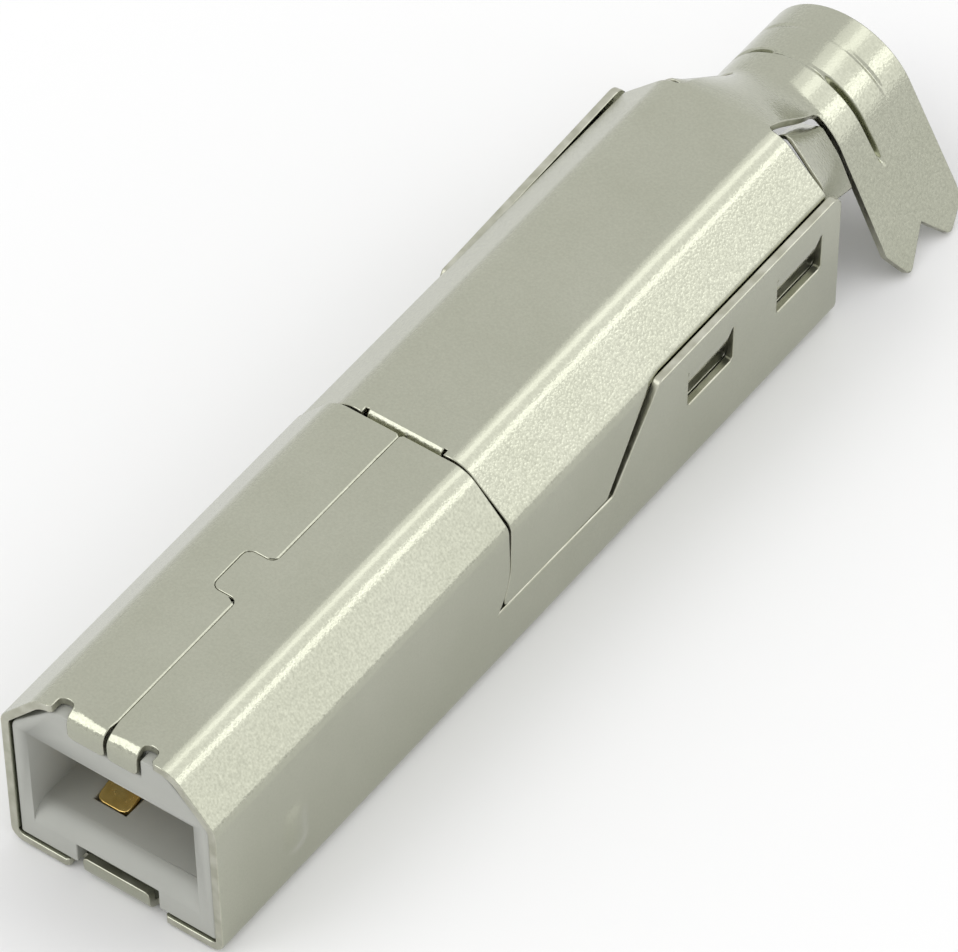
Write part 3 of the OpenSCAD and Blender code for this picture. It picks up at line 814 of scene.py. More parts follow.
@dataclass
class BaseShell(FoldedSheet):
    """Folded base: a seamed tube in front and an open tray behind it."""

    name = "base_shell_sheet"
    outward = -1
    rounding = 0.11
    half_width: float = 4.0
    top_flat: float = 4.96
    side_height: float = 5.53
    bottom_bend: float = 0.45
    upper_bend: float = 1.2
    lower_bend: float = 0.6
    tube_length: float = 14.5
    length: float = 31.7
    ledge: float = 2.3
    wall_top: float = 5.48
    wall_rounds: Corner = (0.08, 0.25, 0.5)
    lean: float = 0.2
    far_lean: Span = (0.08, 0.38)
    slant: Span = (19.7, 22.0)
    toe_reach: float = 0.65
    toe_top: float = 4.0
    seam_gap: float = 0.008
    seam_rounding: Span = (0.1, 0.8)
    seam_margin: float = 0.2
    key_start: float = 6.45
    key_length: float = 1.8
    key_reach: float = 1.0
    key_radius: float = 0.28
    key_margin: float = 0.1
    edge_rounding: float = 0.4
    front_zone: float = 0.6
    front_round: float = 0.1
    tab_bend: float = 0.45
    tab_rounds: Span = (0.15, 0.18)
    top_tabs: Span = (1.17, 1.42)
    tab_gap: float = 0.12
    tab_gap_end: float = 0.75
    top_drop: float = 1.0
    bottom_tab: float = 1.25
    bottom_rise: float = 0.85
    relief: float = 0.55
    relief_round: float = 0.36
    latches: tuple[float, ...] = (23.55, 28.3)
    latch_length: float = 2.4
    latch_low: float = 2.95
    latch_high: float = 4.47
    latch_press: float = 0.5
    latch_cuts: Span = (0.04, 0.1)
    latch_gap: float = 0.22
    latch_round: float = 0.1
    detent_place: Point = (3.68, 2.28)
    detent_height: float = 2.1
    detent_width: float = 1.15
    detent_rise: float = 0.1
    detent_fullness: float = 1.15
    detent_field: Point = (0.7, 1.3)
    detent_steps: tuple[int, int] = (15, 25)
    bend_steps: int = 5
    latch_steps: int = 8
    widest_step: float = 0.9

    def __post_init__(self) -> None:
        """Lay out the sections of the tube and of the tray."""
        half = self.half_width
        foot = [(0, 0, 0), (half, 0, self.bottom_bend)]
        chamfer = [(half, self.side_height, self.lower_bend), (self.top_flat / 2, SHELL_HEIGHT, self.upper_bend)]
        self.tube = Profile([*foot, *chamfer, (0, SHELL_HEIGHT, 0)])
        self.tray = Profile([*foot, (half, 2 * SHELL_HEIGHT, 0)])

    def wall(self, outline: Sequence[Point], side: Side) -> Outline:
        """Lay an outline in side view onto the flat sheet.

        Args:
            outline: Points along the plug and up its side.
            side: Wall that the outline is on.

        Returns:
            The outline across and along the sheet.
        """
        return [(side.value * self.tray.where(1, z), y) for y, z in outline]

    def top_tab(self, side: Side) -> float:
        """Half width of the front tab on one side of the top seam."""
        return self.top_tabs[0 if side is Side.NEAR else 1]

    def toe(self) -> Outline:
        """Side view of the curved edge from the tube's rear down to the ledge.

        Returns:
            Points along the plug and up its side.
        """
        rise = self.toe_top - self.ledge
        radius = (rise**2 + self.toe_reach**2) / (2 * self.toe_reach)
        sweep = math.asin(rise / radius)
        return [
            (self.tube_length - radius * (1 - math.cos(a)), self.toe_top - radius * math.sin(a))
            for a in np.linspace(0, sweep, TOE_POINTS)
        ]

    def edge(self, side: Side) -> Outline:
        """Edge of one half of the flat sheet, from its front along the top seam to its rear.

        Args:
            side: Side of the plug.

        Returns:
            Points across and along the sheet.
        """
        seam, gap = self.tube.length - self.seam_gap / 2, self.seam_gap / 2 * side.value
        slot, slot_end, front = self.relief, self.relief_round * self.relief, self.front_round
        tip = self.tab_bend * (1 - math.pi / 2) + self.tab_bend
        bottom, top = self.bottom_tab, self.tube.length - self.top_tab(side)
        inner = self.tube.length - self.tab_gap / 2
        key = seam + side.value * self.key_reach
        key_start, key_end = self.key_start + gap, self.key_start + self.key_length - gap
        wide, tight = self.key_radius + gap, self.key_radius - gap
        low_round, top_round = self.tab_rounds
        ledge, wall_top = (self.tray.where(1, z) for z in (self.ledge, self.wall_top))
        path = [
            (0, tip - self.bottom_rise, 0),
            (bottom, tip - self.bottom_rise, low_round),
            (bottom, slot, slot_end),
            (bottom + slot, slot, slot_end),
            (bottom + slot, 0, front),
            (top - slot, 0, front),
            (top - slot, slot, slot_end),
            (top, slot, slot_end),
            (top, tip - self.top_drop, top_round),
            (inner, tip - self.top_drop, low_round),
            (inner, self.tab_gap_end / 2, 0),
            (seam, self.tab_gap_end, 0),
            (seam, key_start, wide),
            (key, key_start, tight),
            (key, key_end, tight),
            (seam, key_end, wide),
            (seam, self.tube_length, front),
            *((s, y, 0) for s, y in self.wall(self.toe(), Side.NEAR)),
            (ledge, self.slant[0], self.wall_rounds[0]),
            (wall_top, self.slant[1], self.wall_rounds[1]),
            (wall_top, self.length, self.wall_rounds[2]),
            (0, self.length, 0),
        ]
        return [(side.value * s, y) for s, y in turned(path)]

    def blank(self) -> Blank:
        """The flat sheet with its seam edges, tabs, openings and latches.

        Returns:
            The sheet.
        """
        tab_arc = self.tab_bend * math.pi / 2
        marks = divided([*self.tube.marks, self.tube.length + self.key_reach], self.widest_step)
        bends = [self.tab_bend - tab_arc * k / self.bend_steps for k in range(self.bend_steps + 1)]
        columns = [*divided([self.front_zone, self.length], self.widest_step), *bends]
        sheet = Blank([*marks, *(-m for m in marks if m > 0)], columns, bends)
        near, far = (self.edge(side) for side in Side)
        sheet.add([*near, *reversed(far)])
        for side in Side:
            self.lance(sheet, side)
        return sheet

    def lance(self, sheet: Blank, side: Side) -> None:
        """Cut the latches of one wall free on three sides, and give the pressed places enough points.

        Args:
            sheet: The flat sheet.
            side: Wall to work on.
        """
        low, high, corner = self.latch_low, self.latch_high, self.latch_round
        free = low + self.latch_gap
        for y in self.latches:
            end = y + self.latch_length
            first, last = y + self.latch_cuts[0], end - self.latch_cuts[1]
            outer = [(y, high, 0), (y, low, corner), (end, low, corner), (end, high, 0)]
            inner = [(last, high, 0), (last, free, corner), (first, free, corner), (first, high, 0)]
            sheet.cut(self.wall(rounded([*outer, *inner]), side))
            rise = np.linspace(free, high, self.latch_steps)
            spots = [(u, z) for u in np.linspace(y, end, self.latch_steps) for z in rise]
            sheet.spots += self.wall(spots, side)
        (middle_y, middle_z), (half_y, half_z) = self.detent_place, self.detent_field
        along, up = (np.linspace(-1, 1, count) for count in self.detent_steps)
        sheet.spots += self.wall([(middle_y + half_y * a, middle_z + half_z * b) for a in along for b in up], side)

    def roundness(self, place: Vector) -> float:
        """Share of the full rounding that a cut edge gets.

        Args:
            place: Place on the folded sheet.

        Returns:
            The share, most on the ledge and below the latches, and least on the seam's near edge.
        """
        height = place.z + SHELL_HEIGHT / 2
        if place.y > self.front_zone and min(abs(height - self.ledge), abs(height - self.latch_low)) < NEARBY:
            return 1.0
        on_seam = height > SHELL_HEIGHT - self.seam_margin and abs(place.x) < self.seam_gap
        along_seam = self.tab_gap_end < place.y < self.tube_length - self.seam_margin
        beyond_key = abs(place.y - self.key_start - self.key_length / 2) - self.key_length / 2
        if on_seam and along_seam and beyond_key > self.key_radius + self.key_margin:
            return self.seam_rounding[0 if place.x > 0 else 1]
        return self.edge_rounding

    def fold(self, across: float, along: float) -> Vector:
        """Place of a flat point in the folded base.

        Args:
            across: Distance across the flat sheet.
            along: Distance along the plug.

        Returns:
            The place in the plug.
        """
        side, reach, y = math.copysign(1, across), abs(across), along
        x, z = (self.tube if y <= self.tube_length else self.tray).at(reach)
        top = self.tube.length - self.top_tab(Side(side))
        on_tab = reach <= self.bottom_tab + TINY or reach >= top - TINY
        if y < self.tab_bend and on_tab:
            y, z = self.wrapped(y, z)
        x += self.splay(y, z, Side(side)) + self.detent(y, z) - self.pressed(y, z)
        return Vector((side * x, y, z - SHELL_HEIGHT / 2))

    def wrapped(self, y: float, z: float) -> Point:
        """Bend a point of a tab over the front edge.

        Args:
            y: Place along the flat tab.
            z: Height of the flat tab.

        Returns:
            Place along the plug and height after the bend.
        """
        run = self.tab_bend - y
        angle = min(run / self.tab_bend, math.pi / 2)
        drop = self.tab_bend * (1 - math.cos(angle)) + max(run - self.tab_bend * math.pi / 2, 0)
        return self.tab_bend * (1 - math.sin(angle)), z - drop if z > SHELL_HEIGHT / 2 else z + drop

    def splay(self, y: float, z: float, side: Side) -> float:
        """How far a rear wall leans out at a place.

        Args:
            y: Place along the plug.
            z: Height.
            side: Wall to work on. The far one is bent out more at its end.

        Returns:
            The distance.
        """
        grown = ease((y - self.tube_length) / (self.slant[1] - self.tube_length))
        lean = self.lean
        if side is Side.FAR:
            lean = blend(*self.far_lean, max(y - self.slant[1], 0) / (self.length - self.slant[1]))
        return lean * grown * max(z - self.bottom_bend, 0) / (self.wall_top - self.bottom_bend)

    def detent(self, y: float, z: float) -> float:
        """How far the pressed rib stands out of the wall at a place.

        Args:
            y: Place along the plug.
            z: Height.

        Returns:
            The distance.
        """
        middle_y, middle_z = self.detent_place
        straight = (self.detent_height - self.detent_width) / 2
        beyond = max(abs(z - middle_z) - straight, 0)
        fullness = self.detent_fullness - math.hypot(y - middle_y, beyond) / (self.detent_width / 2)
        return self.detent_rise * ease(fullness)

    def pressed(self, y: float, z: float) -> float:
        """How far a latch's tongue is pressed inward at a place.

        Args:
            y: Place along the plug.
            z: Height.

        Returns:
            The distance, or 0 outside the latches.
        """
        free = self.latch_low + self.latch_gap
        if not free - TINY <= z <= self.latch_high:
            return 0.0
        for start in self.latches:
            first, last = start + self.latch_cuts[0], start + self.latch_length - self.latch_cuts[1]
            if first - TINY <= y <= last + TINY:
                return self.latch_press * ((self.latch_high - z) / (self.latch_high - free)) ** 2
        return 0.0


@dataclass
class Cover(FoldedSheet):
    """Clip-on cover: flush front panels, inner flanges, neck, crimp barrel and two rear wings."""

    name = "cover_sheet"
    half_width: float = 4.0
    top_flat: float = 4.32
    side_height: float = 5.47
    upper_bend: float = 1.2
    lower_bend: float = 0.6
    front: float = 14.57
    front_gap: float = 0.06
    front_slope: Span = (6.9, 5.6)
    toe_center: Point = (11.952, 4.0)
    toe_radius: float = 2.575
    toe_cut: Point = (0.42, 0.36)
    toe_round: float = 0.1
    panel_low: float = 2.34
    slant: tuple[Point, Point] = ((19.45, 2.34), (21.68, 5.42))
    slant_rounds: Span = (0.06, 0.15)
    tuck_start: float = 21.55
    tuck_length: float = 0.95
    flange_fold: float = 3.87
    flange_foot: float = 3.6
    flange_bend: float = 0.25
    flange_start: float = 22.35
    flange_lead: Point = (0.25, 0.35)
    flange_low: float = 1.6
    flange_root: float = 4.97
    flange_rounds: Span = (0.2, 0.3)
    roof_end: float = 31.3
    tongue_half: float = 1.4
    tongue_tip: float = 12.6
    tongue_root: float = 14.8
    tongue_drop: float = 0.37
    tongue_step: float = 0.36
    tongue_round: float = 0.3
    slot_width: float = 0.12
    neck_half: float = 1.65
    neck_rounds: Span = (0.2, 0.12)
    neck_flare: float = 0.3
    neck_power: float = 1.2
    neck_ease: float = 0.6
    barrel_start: float = 33.98
    barrel_end: float = 37.88
    barrel_radius: float = 2.88
    barrel_z: float = 3.04
    crown_angle: float = 60.0
    flare_fade: Span = (1.3, 1.7)
    ear_zone: float = 32.82
    ear_length: float = 5.18
    ear_notch: float = 1.13
    ear_notch_place: float = 1.72
    ear_root: float = 0.1
    ear_shoulder: float = -0.2
    ear_tips: Span = (0.37, 2.6)
    ear_rounds: Span = (0.12, 0.2)
    ear_rear: Point = (0.2, 0.7)
    ear_rear_round: float = 0.9
    grooves: Span = (35.36, 36.7)
    groove_depths: Span = (0.38, 0.05)
    groove_runs: Span = (1.65, 0.0)
    groove_half: float = 0.13
    groove_least: float = 0.1
    groove_rise: Span = (0.7, 1.0)
    groove_fade: float = 0.9
    latches: tuple[float, ...] = (23.43, 28.18)
    latch_length: float = 2.64
    latch_heights: Span = (2.83, 4.59)
    latch_round: float = 0.15
    wing_start: Span = (31.7, 31.42)
    wing_end: float = 33.82
    wing_low: float = 4.6
    wing_gap: float = 0.06
    wing_front_bends: tuple[Corner, ...] = ((1.75, 6.64, 0), (2.18, 7.0, 0.3), (3.65, 5.57, 0.5))
    wing_rear_bends: tuple[Corner, ...] = (
        (1.0, 5.05, 0),
        (1.6, 5.2, 0.15),
        (1.95, 5.42, 0.2),
        (2.62, 4.5, 0.9),
        (3.15, 3.3, 0),
    )
    wing_steps: tuple[int, int] = (16, 22)

    # Lines of points on the flat sheet; a pair of counts is for the columns and for the creases
    edge_clearance: float = 0.1
    widest_row: float = 0.8
    widest_step: float = 0.9
    rear_step: float = 0.3
    bends_end: float = 6.0
    panels_end: float = 21.4
    plain_roof: float = 23.4
    plain_barrel: float = 37.1
    neck_runout: float = 1.0
    joggle: Span = (14.46, 14.92)
    joggle_lines: tuple[int, int] = (13, 5)
    tuck_zone: Span = (21.5, 22.7)
    tuck_lines: tuple[int, int] = (13, 9)
    neck_lines: tuple[int, int] = (22, 16)
    crown_steps: int = 14
    barrel_steps: int = 22
    groove_steps: int = 6

    def __post_init__(self) -> None:
        """Lay out the sections of the front panels, the flanges and the wings."""
        roof = [(0, SHELL_HEIGHT, 0), (self.top_flat / 2, SHELL_HEIGHT, self.upper_bend)]
        slope = (SHELL_HEIGHT - self.side_height) / (self.half_width - self.top_flat / 2)
        fold_z = self.side_height + (self.half_width - self.flange_fold) * slope
        self.panel = Profile([*roof, (self.half_width, self.side_height, self.lower_bend), (self.half_width, 0, 0)])
        self.flange = Profile([*roof, (self.flange_fold, fold_z, self.flange_bend), (self.flange_foot, 0, 0)])
        self.crown = self.barrel_radius * math.radians(self.crown_angle)
        self.neck_drop = SHELL_HEIGHT - self.barrel_z - self.barrel_radius
        self.wing_front = Profile([*self.wing_front_bends, (self.wing_front_bends[-1][0], self.wing_low, 0)])
        self.wing_rear = Profile(self.wing_rear_bends)

    def on_panel(self, y: float, z: float, radius: float = 0.0) -> Corner:
        """Corner on a front panel, by its place along the plug, its height and its radius."""
        return self.panel.where(1, z), y, radius

    def on_flange(self, y: float, z: float, radius: float = 0.0) -> Corner:
        """Corner on an inner flange, by its place along the plug, its height and its radius."""
        return self.flange.where(1, z), y, radius

    def on_ear(self, y: float, down: float, radius: float = 0.0) -> Corner:
        """Corner on an ear, by its place along the plug, its distance below the crown and its radius."""
        return self.crown + down, y, radius

    def toe(self) -> list[Corner]:
        """Curved front edge of a panel.

        Returns:
            Corners across and along the sheet.
        """
        y, z = self.toe_center
        low = math.asin((z - self.panel_low - self.toe_cut[1]) / self.toe_radius)
        return [
            self.on_panel(y + self.toe_radius * math.cos(a), z - self.toe_radius * math.sin(a))
            for a in np.linspace(0, low, TOE_POINTS)
        ]

    def edge(self) -> Outline:
        """Right-hand edge of the flat sheet, from the tongue's tip to the barrel's rear.

        Returns:
            Points across and along the sheet.
        """
        return turned([*self.front_edge(), *self.rear_edge()])

    def front_edge(self) -> list[Corner]:
        """Edge of the tongue and of a front panel.

        Returns:
            Corners across and along the sheet.
        """
        slot = self.tongue_half + self.slot_width
        return [
            (0, self.tongue_tip, 0),
            (self.tongue_half, self.tongue_tip, self.tongue_round),
            (self.tongue_half, self.tongue_root, 0),
            (slot, self.tongue_root, 0),
            (slot, self.front, 0),
            *(self.on_panel(self.front + self.front_gap, z) for z in self.front_slope),
            *self.toe(),
            self.on_panel(self.front - self.toe_cut[0], self.panel_low, self.toe_round),
            *(self.on_panel(*corner, radius) for corner, radius in zip(self.slant, self.slant_rounds)),
        ]

    def rear_edge(self) -> list[Corner]:
        """Edge of a flange, of the neck and of the barrel with its ear.

        Returns:
            Corners across and along the sheet.
        """
        behind = self.wing_start[1] + self.wing_gap
        root_round, foot_round = self.flange_rounds
        shoulder = self.ear_length - self.ear_notch
        first_tip, last_tip = self.ear_tips
        shoulder_round, tip_round = self.ear_rounds
        start, end = self.barrel_start, self.barrel_end
        return [
            self.on_flange(self.flange_start - self.flange_lead[0], self.flange_root + self.flange_lead[1]),
            self.on_flange(self.flange_start, self.flange_root, root_round),
            self.on_flange(self.flange_start, self.flange_low, foot_round),
            self.on_flange(self.roof_end, self.flange_low, foot_round),
            self.on_flange(self.roof_end, self.wing_low),
            self.on_flange(behind, self.wing_low),
            self.on_flange(behind, self.flange_root),
            self.on_flange(self.roof_end, self.flange_root),
            (self.neck_half, self.roof_end, self.neck_rounds[0]),
            (self.neck_half, start + self.ear_root, self.neck_rounds[1]),
            self.on_ear(start + self.ear_root, 0),
            self.on_ear(start + self.ear_shoulder, shoulder, shoulder_round),
            self.on_ear(start + first_tip, self.ear_length, tip_round),
            self.on_ear(start + self.ear_notch_place, shoulder),
            self.on_ear(start + last_tip, self.ear_length, tip_round),
            self.on_ear(end - self.ear_rear[0], self.ear_length - self.ear_rear[1], self.ear_rear_round),
            self.on_ear(end, 0),
            (0, end, 0),
        ]

    def lines(self) -> tuple[list[float], list[float], list[float]]:
        """Lines along which the sheet gets its points, close together where it bends.

        Returns:
            Rows across the sheet, columns along it, and the creases that divide its edges.
        """
        arcs = [m for m in [*self.panel.marks, *self.flange.marks] if m < self.bends_end]
        barrel = [self.crown * k / self.crown_steps for k in range(self.barrel_steps + 1)]
        rows = divided(spaced([*arcs, *barrel, self.crown + self.ear_length], NEARBY), self.widest_row)
        groove = range(-self.groove_steps - 1, self.groove_steps + 2)
        columns = [
            *divided([self.tongue_tip, self.tongue_root, self.front, self.panels_end], self.widest_step),
            *np.linspace(*self.joggle, self.joggle_lines[0]),
            *np.linspace(*self.tuck_zone, self.tuck_lines[0]),
            *divided([self.plain_roof, self.roof_end], self.widest_step),
            *np.linspace(self.roof_end, self.barrel_start + self.neck_runout, self.neck_lines[0]),
            *(y + self.groove_half * k / self.groove_steps for y in self.grooves for k in groove),
            *divided([self.plain_barrel, self.barrel_end], self.rear_step),
        ]
        creases = [
            *np.linspace(self.joggle[0], self.joggle[1] - NEARBY, self.joggle_lines[1]),
            *np.linspace(*self.tuck_zone, self.tuck_lines[1]),
            *np.linspace(self.roof_end, self.barrel_start, self.neck_lines[1]),
        ]
        return rows, columns, creases

    def blank(self) -> Blank:
        """The flat sheet with its tongue, flanges, windows, neck, barrel and ears.

        Returns:
            The sheet.
        """
        rows, columns, creases = self.lines()
        sheet = Blank([*rows, *(-m for m in rows if m > 0)], columns, creases, self.edge_clearance)
        edge = self.edge()
        sheet.add([*edge, *((-s, y) for s, y in reversed(edge))])
        low, high = self.latch_heights
        for y in self.latches:
            end = y + self.latch_length
            corners = [(y, low), (end, low), (end, high), (y, high)]
            window = rounded([(*corner, self.latch_round) for corner in corners])
            for side in Side:
                sheet.cut([(side.value * self.flange.where(1, z), u) for u, z in window])
        return sheet

    def fold(self, across: float, along: float) -> Vector:
        """Place of a flat point in the folded cover.

        Args:
            across: Distance across the flat sheet.
            along: Distance along the plug.

        Returns:
            The place in the plug.
        """
        side, reach = math.copysign(1, across), abs(across)
        on_neck = along > self.roof_end and reach <= self.neck_half + TINY
        if along >= self.barrel_start or (along > self.ear_zone and not on_neck):
            x, z = self.barrel(reach, along)
        elif on_neck:
            x, z = self.neck(reach, along)
        else:
            x, z = self.roof(reach, along)
        return Vector((side * x, along, z - SHELL_HEIGHT / 2))

    def roof(self, reach: float, y: float) -> Point:
        """Section of the roof, the panels and the flanges, with the tongue stepped down in front.

        Args:
            reach: Distance from the middle of the flat sheet.
            y: Place along the plug.

        Returns:
            Distance from the plug's middle, and height.
        """
        tucked = ease((y - self.tuck_start) / self.tuck_length)
        (ax, az), (bx, bz) = self.panel.at(reach), self.flange.at(reach)
        on_tongue = reach <= self.tongue_half + TINY
        drop = self.tongue_drop * ease((self.tongue_root - y) / self.tongue_step) if on_tongue else 0
        return blend(ax, bx, tucked), blend(az, bz, tucked) - drop

    def neck(self, reach: float, y: float) -> Point:
        """Section of the neck, which sinks and rounds until it meets the barrel.

        Args:
            reach: Distance from the middle of the flat sheet.
            y: Place along the plug.

        Returns:
            Distance from the plug's middle, and height.
        """
        grown = ((y - self.roof_end) / (self.barrel_start - self.roof_end)) ** self.neck_power
        radius = self.barrel_radius
        round_x, sag = radius * math.sin(reach / radius), radius * (1 - math.cos(reach / radius))
        return blend(reach, round_x, grown), SHELL_HEIGHT - self.fall(y) - sag * grown

    def fall(self, y: float) -> float:
        """How far the neck has sunk, running on into the flared front of the barrel.

        Args:
            y: Place along the plug.

        Returns:
            The distance.
        """
        end = self.barrel_start + self.neck_flare
        share = min((y - self.roof_end) / (end - self.roof_end), 1)
        return self.neck_drop * blend(share, ease(share), self.neck_ease)

    def barrel(self, reach: float, y: float) -> Point:
        """Section of the crimp barrel with its straight ears and pressed grooves.

        Args:
            reach: Distance from the middle of the flat sheet.
            y: Place along the plug.

        Returns:
            Distance from the plug's middle, and height.
        """
        fade_start, fade = self.flare_fade
        flare = (self.neck_drop - self.fall(y)) * (1 - ease((reach - fade_start) / fade))
        radius = self.barrel_radius - self.groove(reach, y) + flare
        angle = min(reach, self.crown) / self.barrel_radius
        down = max(reach - self.crown, 0)
        return (
            radius * math.sin(angle) + down * math.cos(angle),
            self.barrel_z + radius * math.cos(angle) - down * math.sin(angle),
        )

    def groove(self, reach: float, y: float) -> float:
        """Depth of the pressed grooves at a place.

        Args:
            reach: Distance from the middle of the flat sheet.
            y: Place along the plug.

        Returns:
            The depth.
        """
        rise_start, rise = self.groove_rise
        depth = 0.0
        for place, deepest, run in zip(self.grooves, self.groove_depths, self.groove_runs):
            strength = blend(self.groove_least, 1.0, ease((reach - rise_start) / rise))
            strength *= ease((self.crown + run - reach) / self.groove_fade)
            depth += deepest * strength * ease(1 - abs(y - place) / self.groove_half)
        return depth

    def extra(self) -> list[tuple[list[Vector], Faces]]:
        """The two wings behind the roof, which close in under the barrel.

        Returns:
            Points and faces of each wing.
        """
        rows, columns = self.wing_steps
        sheets = []
        for side in Side:
            points = [self.wing(side, i / rows, j / columns) for i in range(rows + 1) for j in range(columns + 1)]
            quads = [
                (n, n + 1, n + columns + 2, n + columns + 1)[:: side.value]
                for i in range(rows)
                for n in range(i * (columns + 1), i * (columns + 1) + columns)
            ]
            sheets.append((points, quads))
        return sheets

    def wing(self, side: Side, along: float, down: float) -> Vector:
        """Place of a point on a wing.

        Args:
            side: Side of the plug.
            along: Share of the way from the roof to the barrel.
            down: Share of the way from the upper edge to the lower edge.

        Returns:
            The place in the plug.
        """
        first = self.wing_front.at(down * self.wing_front.length)
        last = self.wing_rear.at(down * self.wing_rear.length)
        y = blend(blend(*self.wing_start, down), self.wing_end, along)
        x, z = blend(first[0], last[0], along), blend(first[1], last[1], along)
        return Vector((side.value * x, y, z - SHELL_HEIGHT / 2))


@dataclass
class ContactSpring(FoldedSheet):
    """One lower contact: solder tail, straight run, bow and tip."""

    name = "contact_strip"
    thickness = 0.22
    offset = 0.0
    rounding = 0.03
    half_width: float = 0.58
    run_z: float = 1.55
    tail_end: float = 17.1
    tail_round: float = 0.2
    tip: float = 1.5
    tip_rise: float = 0.12
    tip_round: float = 0.25
    bow_length: float = 5.0
    bow_rise: float = 0.95
    bow_bends: Span = (1.0, 1.8)
    bend_steps: int = 12
    widest_step: float = 0.8
    lines: tuple[float, ...] = (-0.3, 0, 0.3)

    def __post_init__(self) -> None:
        """Lay out the contact's side view."""
        path = [
            (self.tail_end, self.run_z, 0),
            (self.tip + self.bow_length, self.run_z, self.bow_bends[0]),
            (self.tip + self.bow_length / 2, self.run_z + self.bow_rise, self.bow_bends[1]),
            (self.tip, self.run_z + self.tip_rise, 0),
        ]
        self.path = Profile(path, self.bend_steps)

    def blank(self) -> Blank:
        """The flat strip with a rounded tip.

        Returns:
            The strip, laid across the sheet.
        """
        end, half = self.path.length, self.half_width
        tail, tip = self.tail_round, self.tip_round
        strip = Blank(divided(self.path.marks, self.widest_step), self.lines)
        strip.add(rounded([(0, -half, tail), (end, -half, tip), (end, half, tip), (0, half, tail)]))
        return strip

    def fold(self, across: float, along: float) -> Vector:
        """Place of a flat point in the bent contact."""
        y, z = self.path.at(across)
        return Vector((along, y, z - SHELL_HEIGHT / 2))


@dataclass
class ContactSet:
    """The four contacts, set out by a node group from one bent strip."""

    pitch: float = 2.5
    setback: float = 2.0
    bow_end: float = 8.0
    middle: float = 3.51 - SHELL_HEIGHT / 2

    def group(self) -> bpy.types.NodeTree:
        """Build the node group that sets out two rows of two contacts.

        Returns:
            The group, with named inputs.
        """
        tree = bpy.data.node_groups.new("contact_set", "GeometryNodeTree")
        face = tree.interface
        face.new_socket("Strip", in_out="INPUT", socket_type="NodeSocketGeometry")
        for name in ("Pitch", "Setback", "Bow end", "Middle height"):
            face.new_socket(name, in_out="INPUT", socket_type="NodeSocketFloat")
        face.new_socket("Finish", in_out="INPUT", socket_type="NodeSocketMaterial")
        face.new_socket("Contacts", in_out="OUTPUT", socket_type="NodeSocketGeometry")
        graph = NodeGraph(tree)
        given = graph.add("NodeGroupInput").outputs

        def moved(axis: str, source: Socket, factor: float = 1.0) -> Socket:
            """Vector along one axis, a factor times a socket long."""
            size = graph.add("ShaderNodeMath", source, factor, operation="MULTIPLY")
            return graph.add("ShaderNodeCombineXYZ", **{axis: size.outputs[0]}).outputs[0]

        def copied(strip: Socket, way: Socket, scale: Corner = (1, 1, 1)) -> Socket:
            """Copy of a strip, moved and scaled."""
            return graph.add("GeometryNodeTransform", Geometry=strip, Translation=way, Scale=scale).outputs[0]

        place = graph.add("ShaderNodeSeparateXYZ", graph.add("GeometryNodeInputPosition").outputs[0])
        front = graph.add("FunctionNodeCompare", A=place.outputs["Y"], B=given["Bow end"], operation="LESS_THAN")
        power = given["Strip"]
        back = moved("Y", given["Setback"])
        data = graph.add("GeometryNodeSetPosition", Geometry=power, Selection=front.outputs[0], Offset=back)
        row = [
            copied(power, moved("X", given["Pitch"], -0.5)),
            copied(data.outputs[0], moved("X", given["Pitch"], 0.5)),
        ]
        lower = graph.add("GeometryNodeJoinGeometry", Geometry=row).outputs[0]
        upper = copied(lower, moved("Z", given["Middle height"], 2.0), (1, 1, -1))
        outward = graph.add("GeometryNodeFlipFaces", Mesh=upper)
        both = graph.add("GeometryNodeJoinGeometry", Geometry=[lower, outward.outputs[0]])
        real = graph.add("GeometryNodeRealizeInstances", Geometry=both.outputs[0])
        done = graph.add("GeometryNodeSetMaterial", Geometry=real.outputs[0], Material=given["Finish"])
        graph.add("NodeGroupOutput", Contacts=done.outputs[0])
        return tree

    def build(self, gold: Material) -> Object:
        """Set out the contacts.

        Args:
            gold: Finish of the contacts.

        Returns:
            One piece with all four contacts.
        """
        strip = bake(ContactSpring().worker([gold, gold]), ContactSpring.name)
        strip.data.transform(Matrix.Scale(1 / MM, 4))
        tree = self.group()
        rows = strip.modifiers.new("rows", "NODES")
        rows.node_group = tree
        values = {
            "Pitch": self.pitch,
            "Setback": self.setback,
            "Bow end": self.bow_end,
            "Middle height": self.middle,
            "Finish": gold,
        }
        for socket in tree.interface.items_tree:
            if socket.in_out == "INPUT" and socket.name in values:
                rows[socket.identifier] = values[socket.name]
        return bake(strip, "contacts")


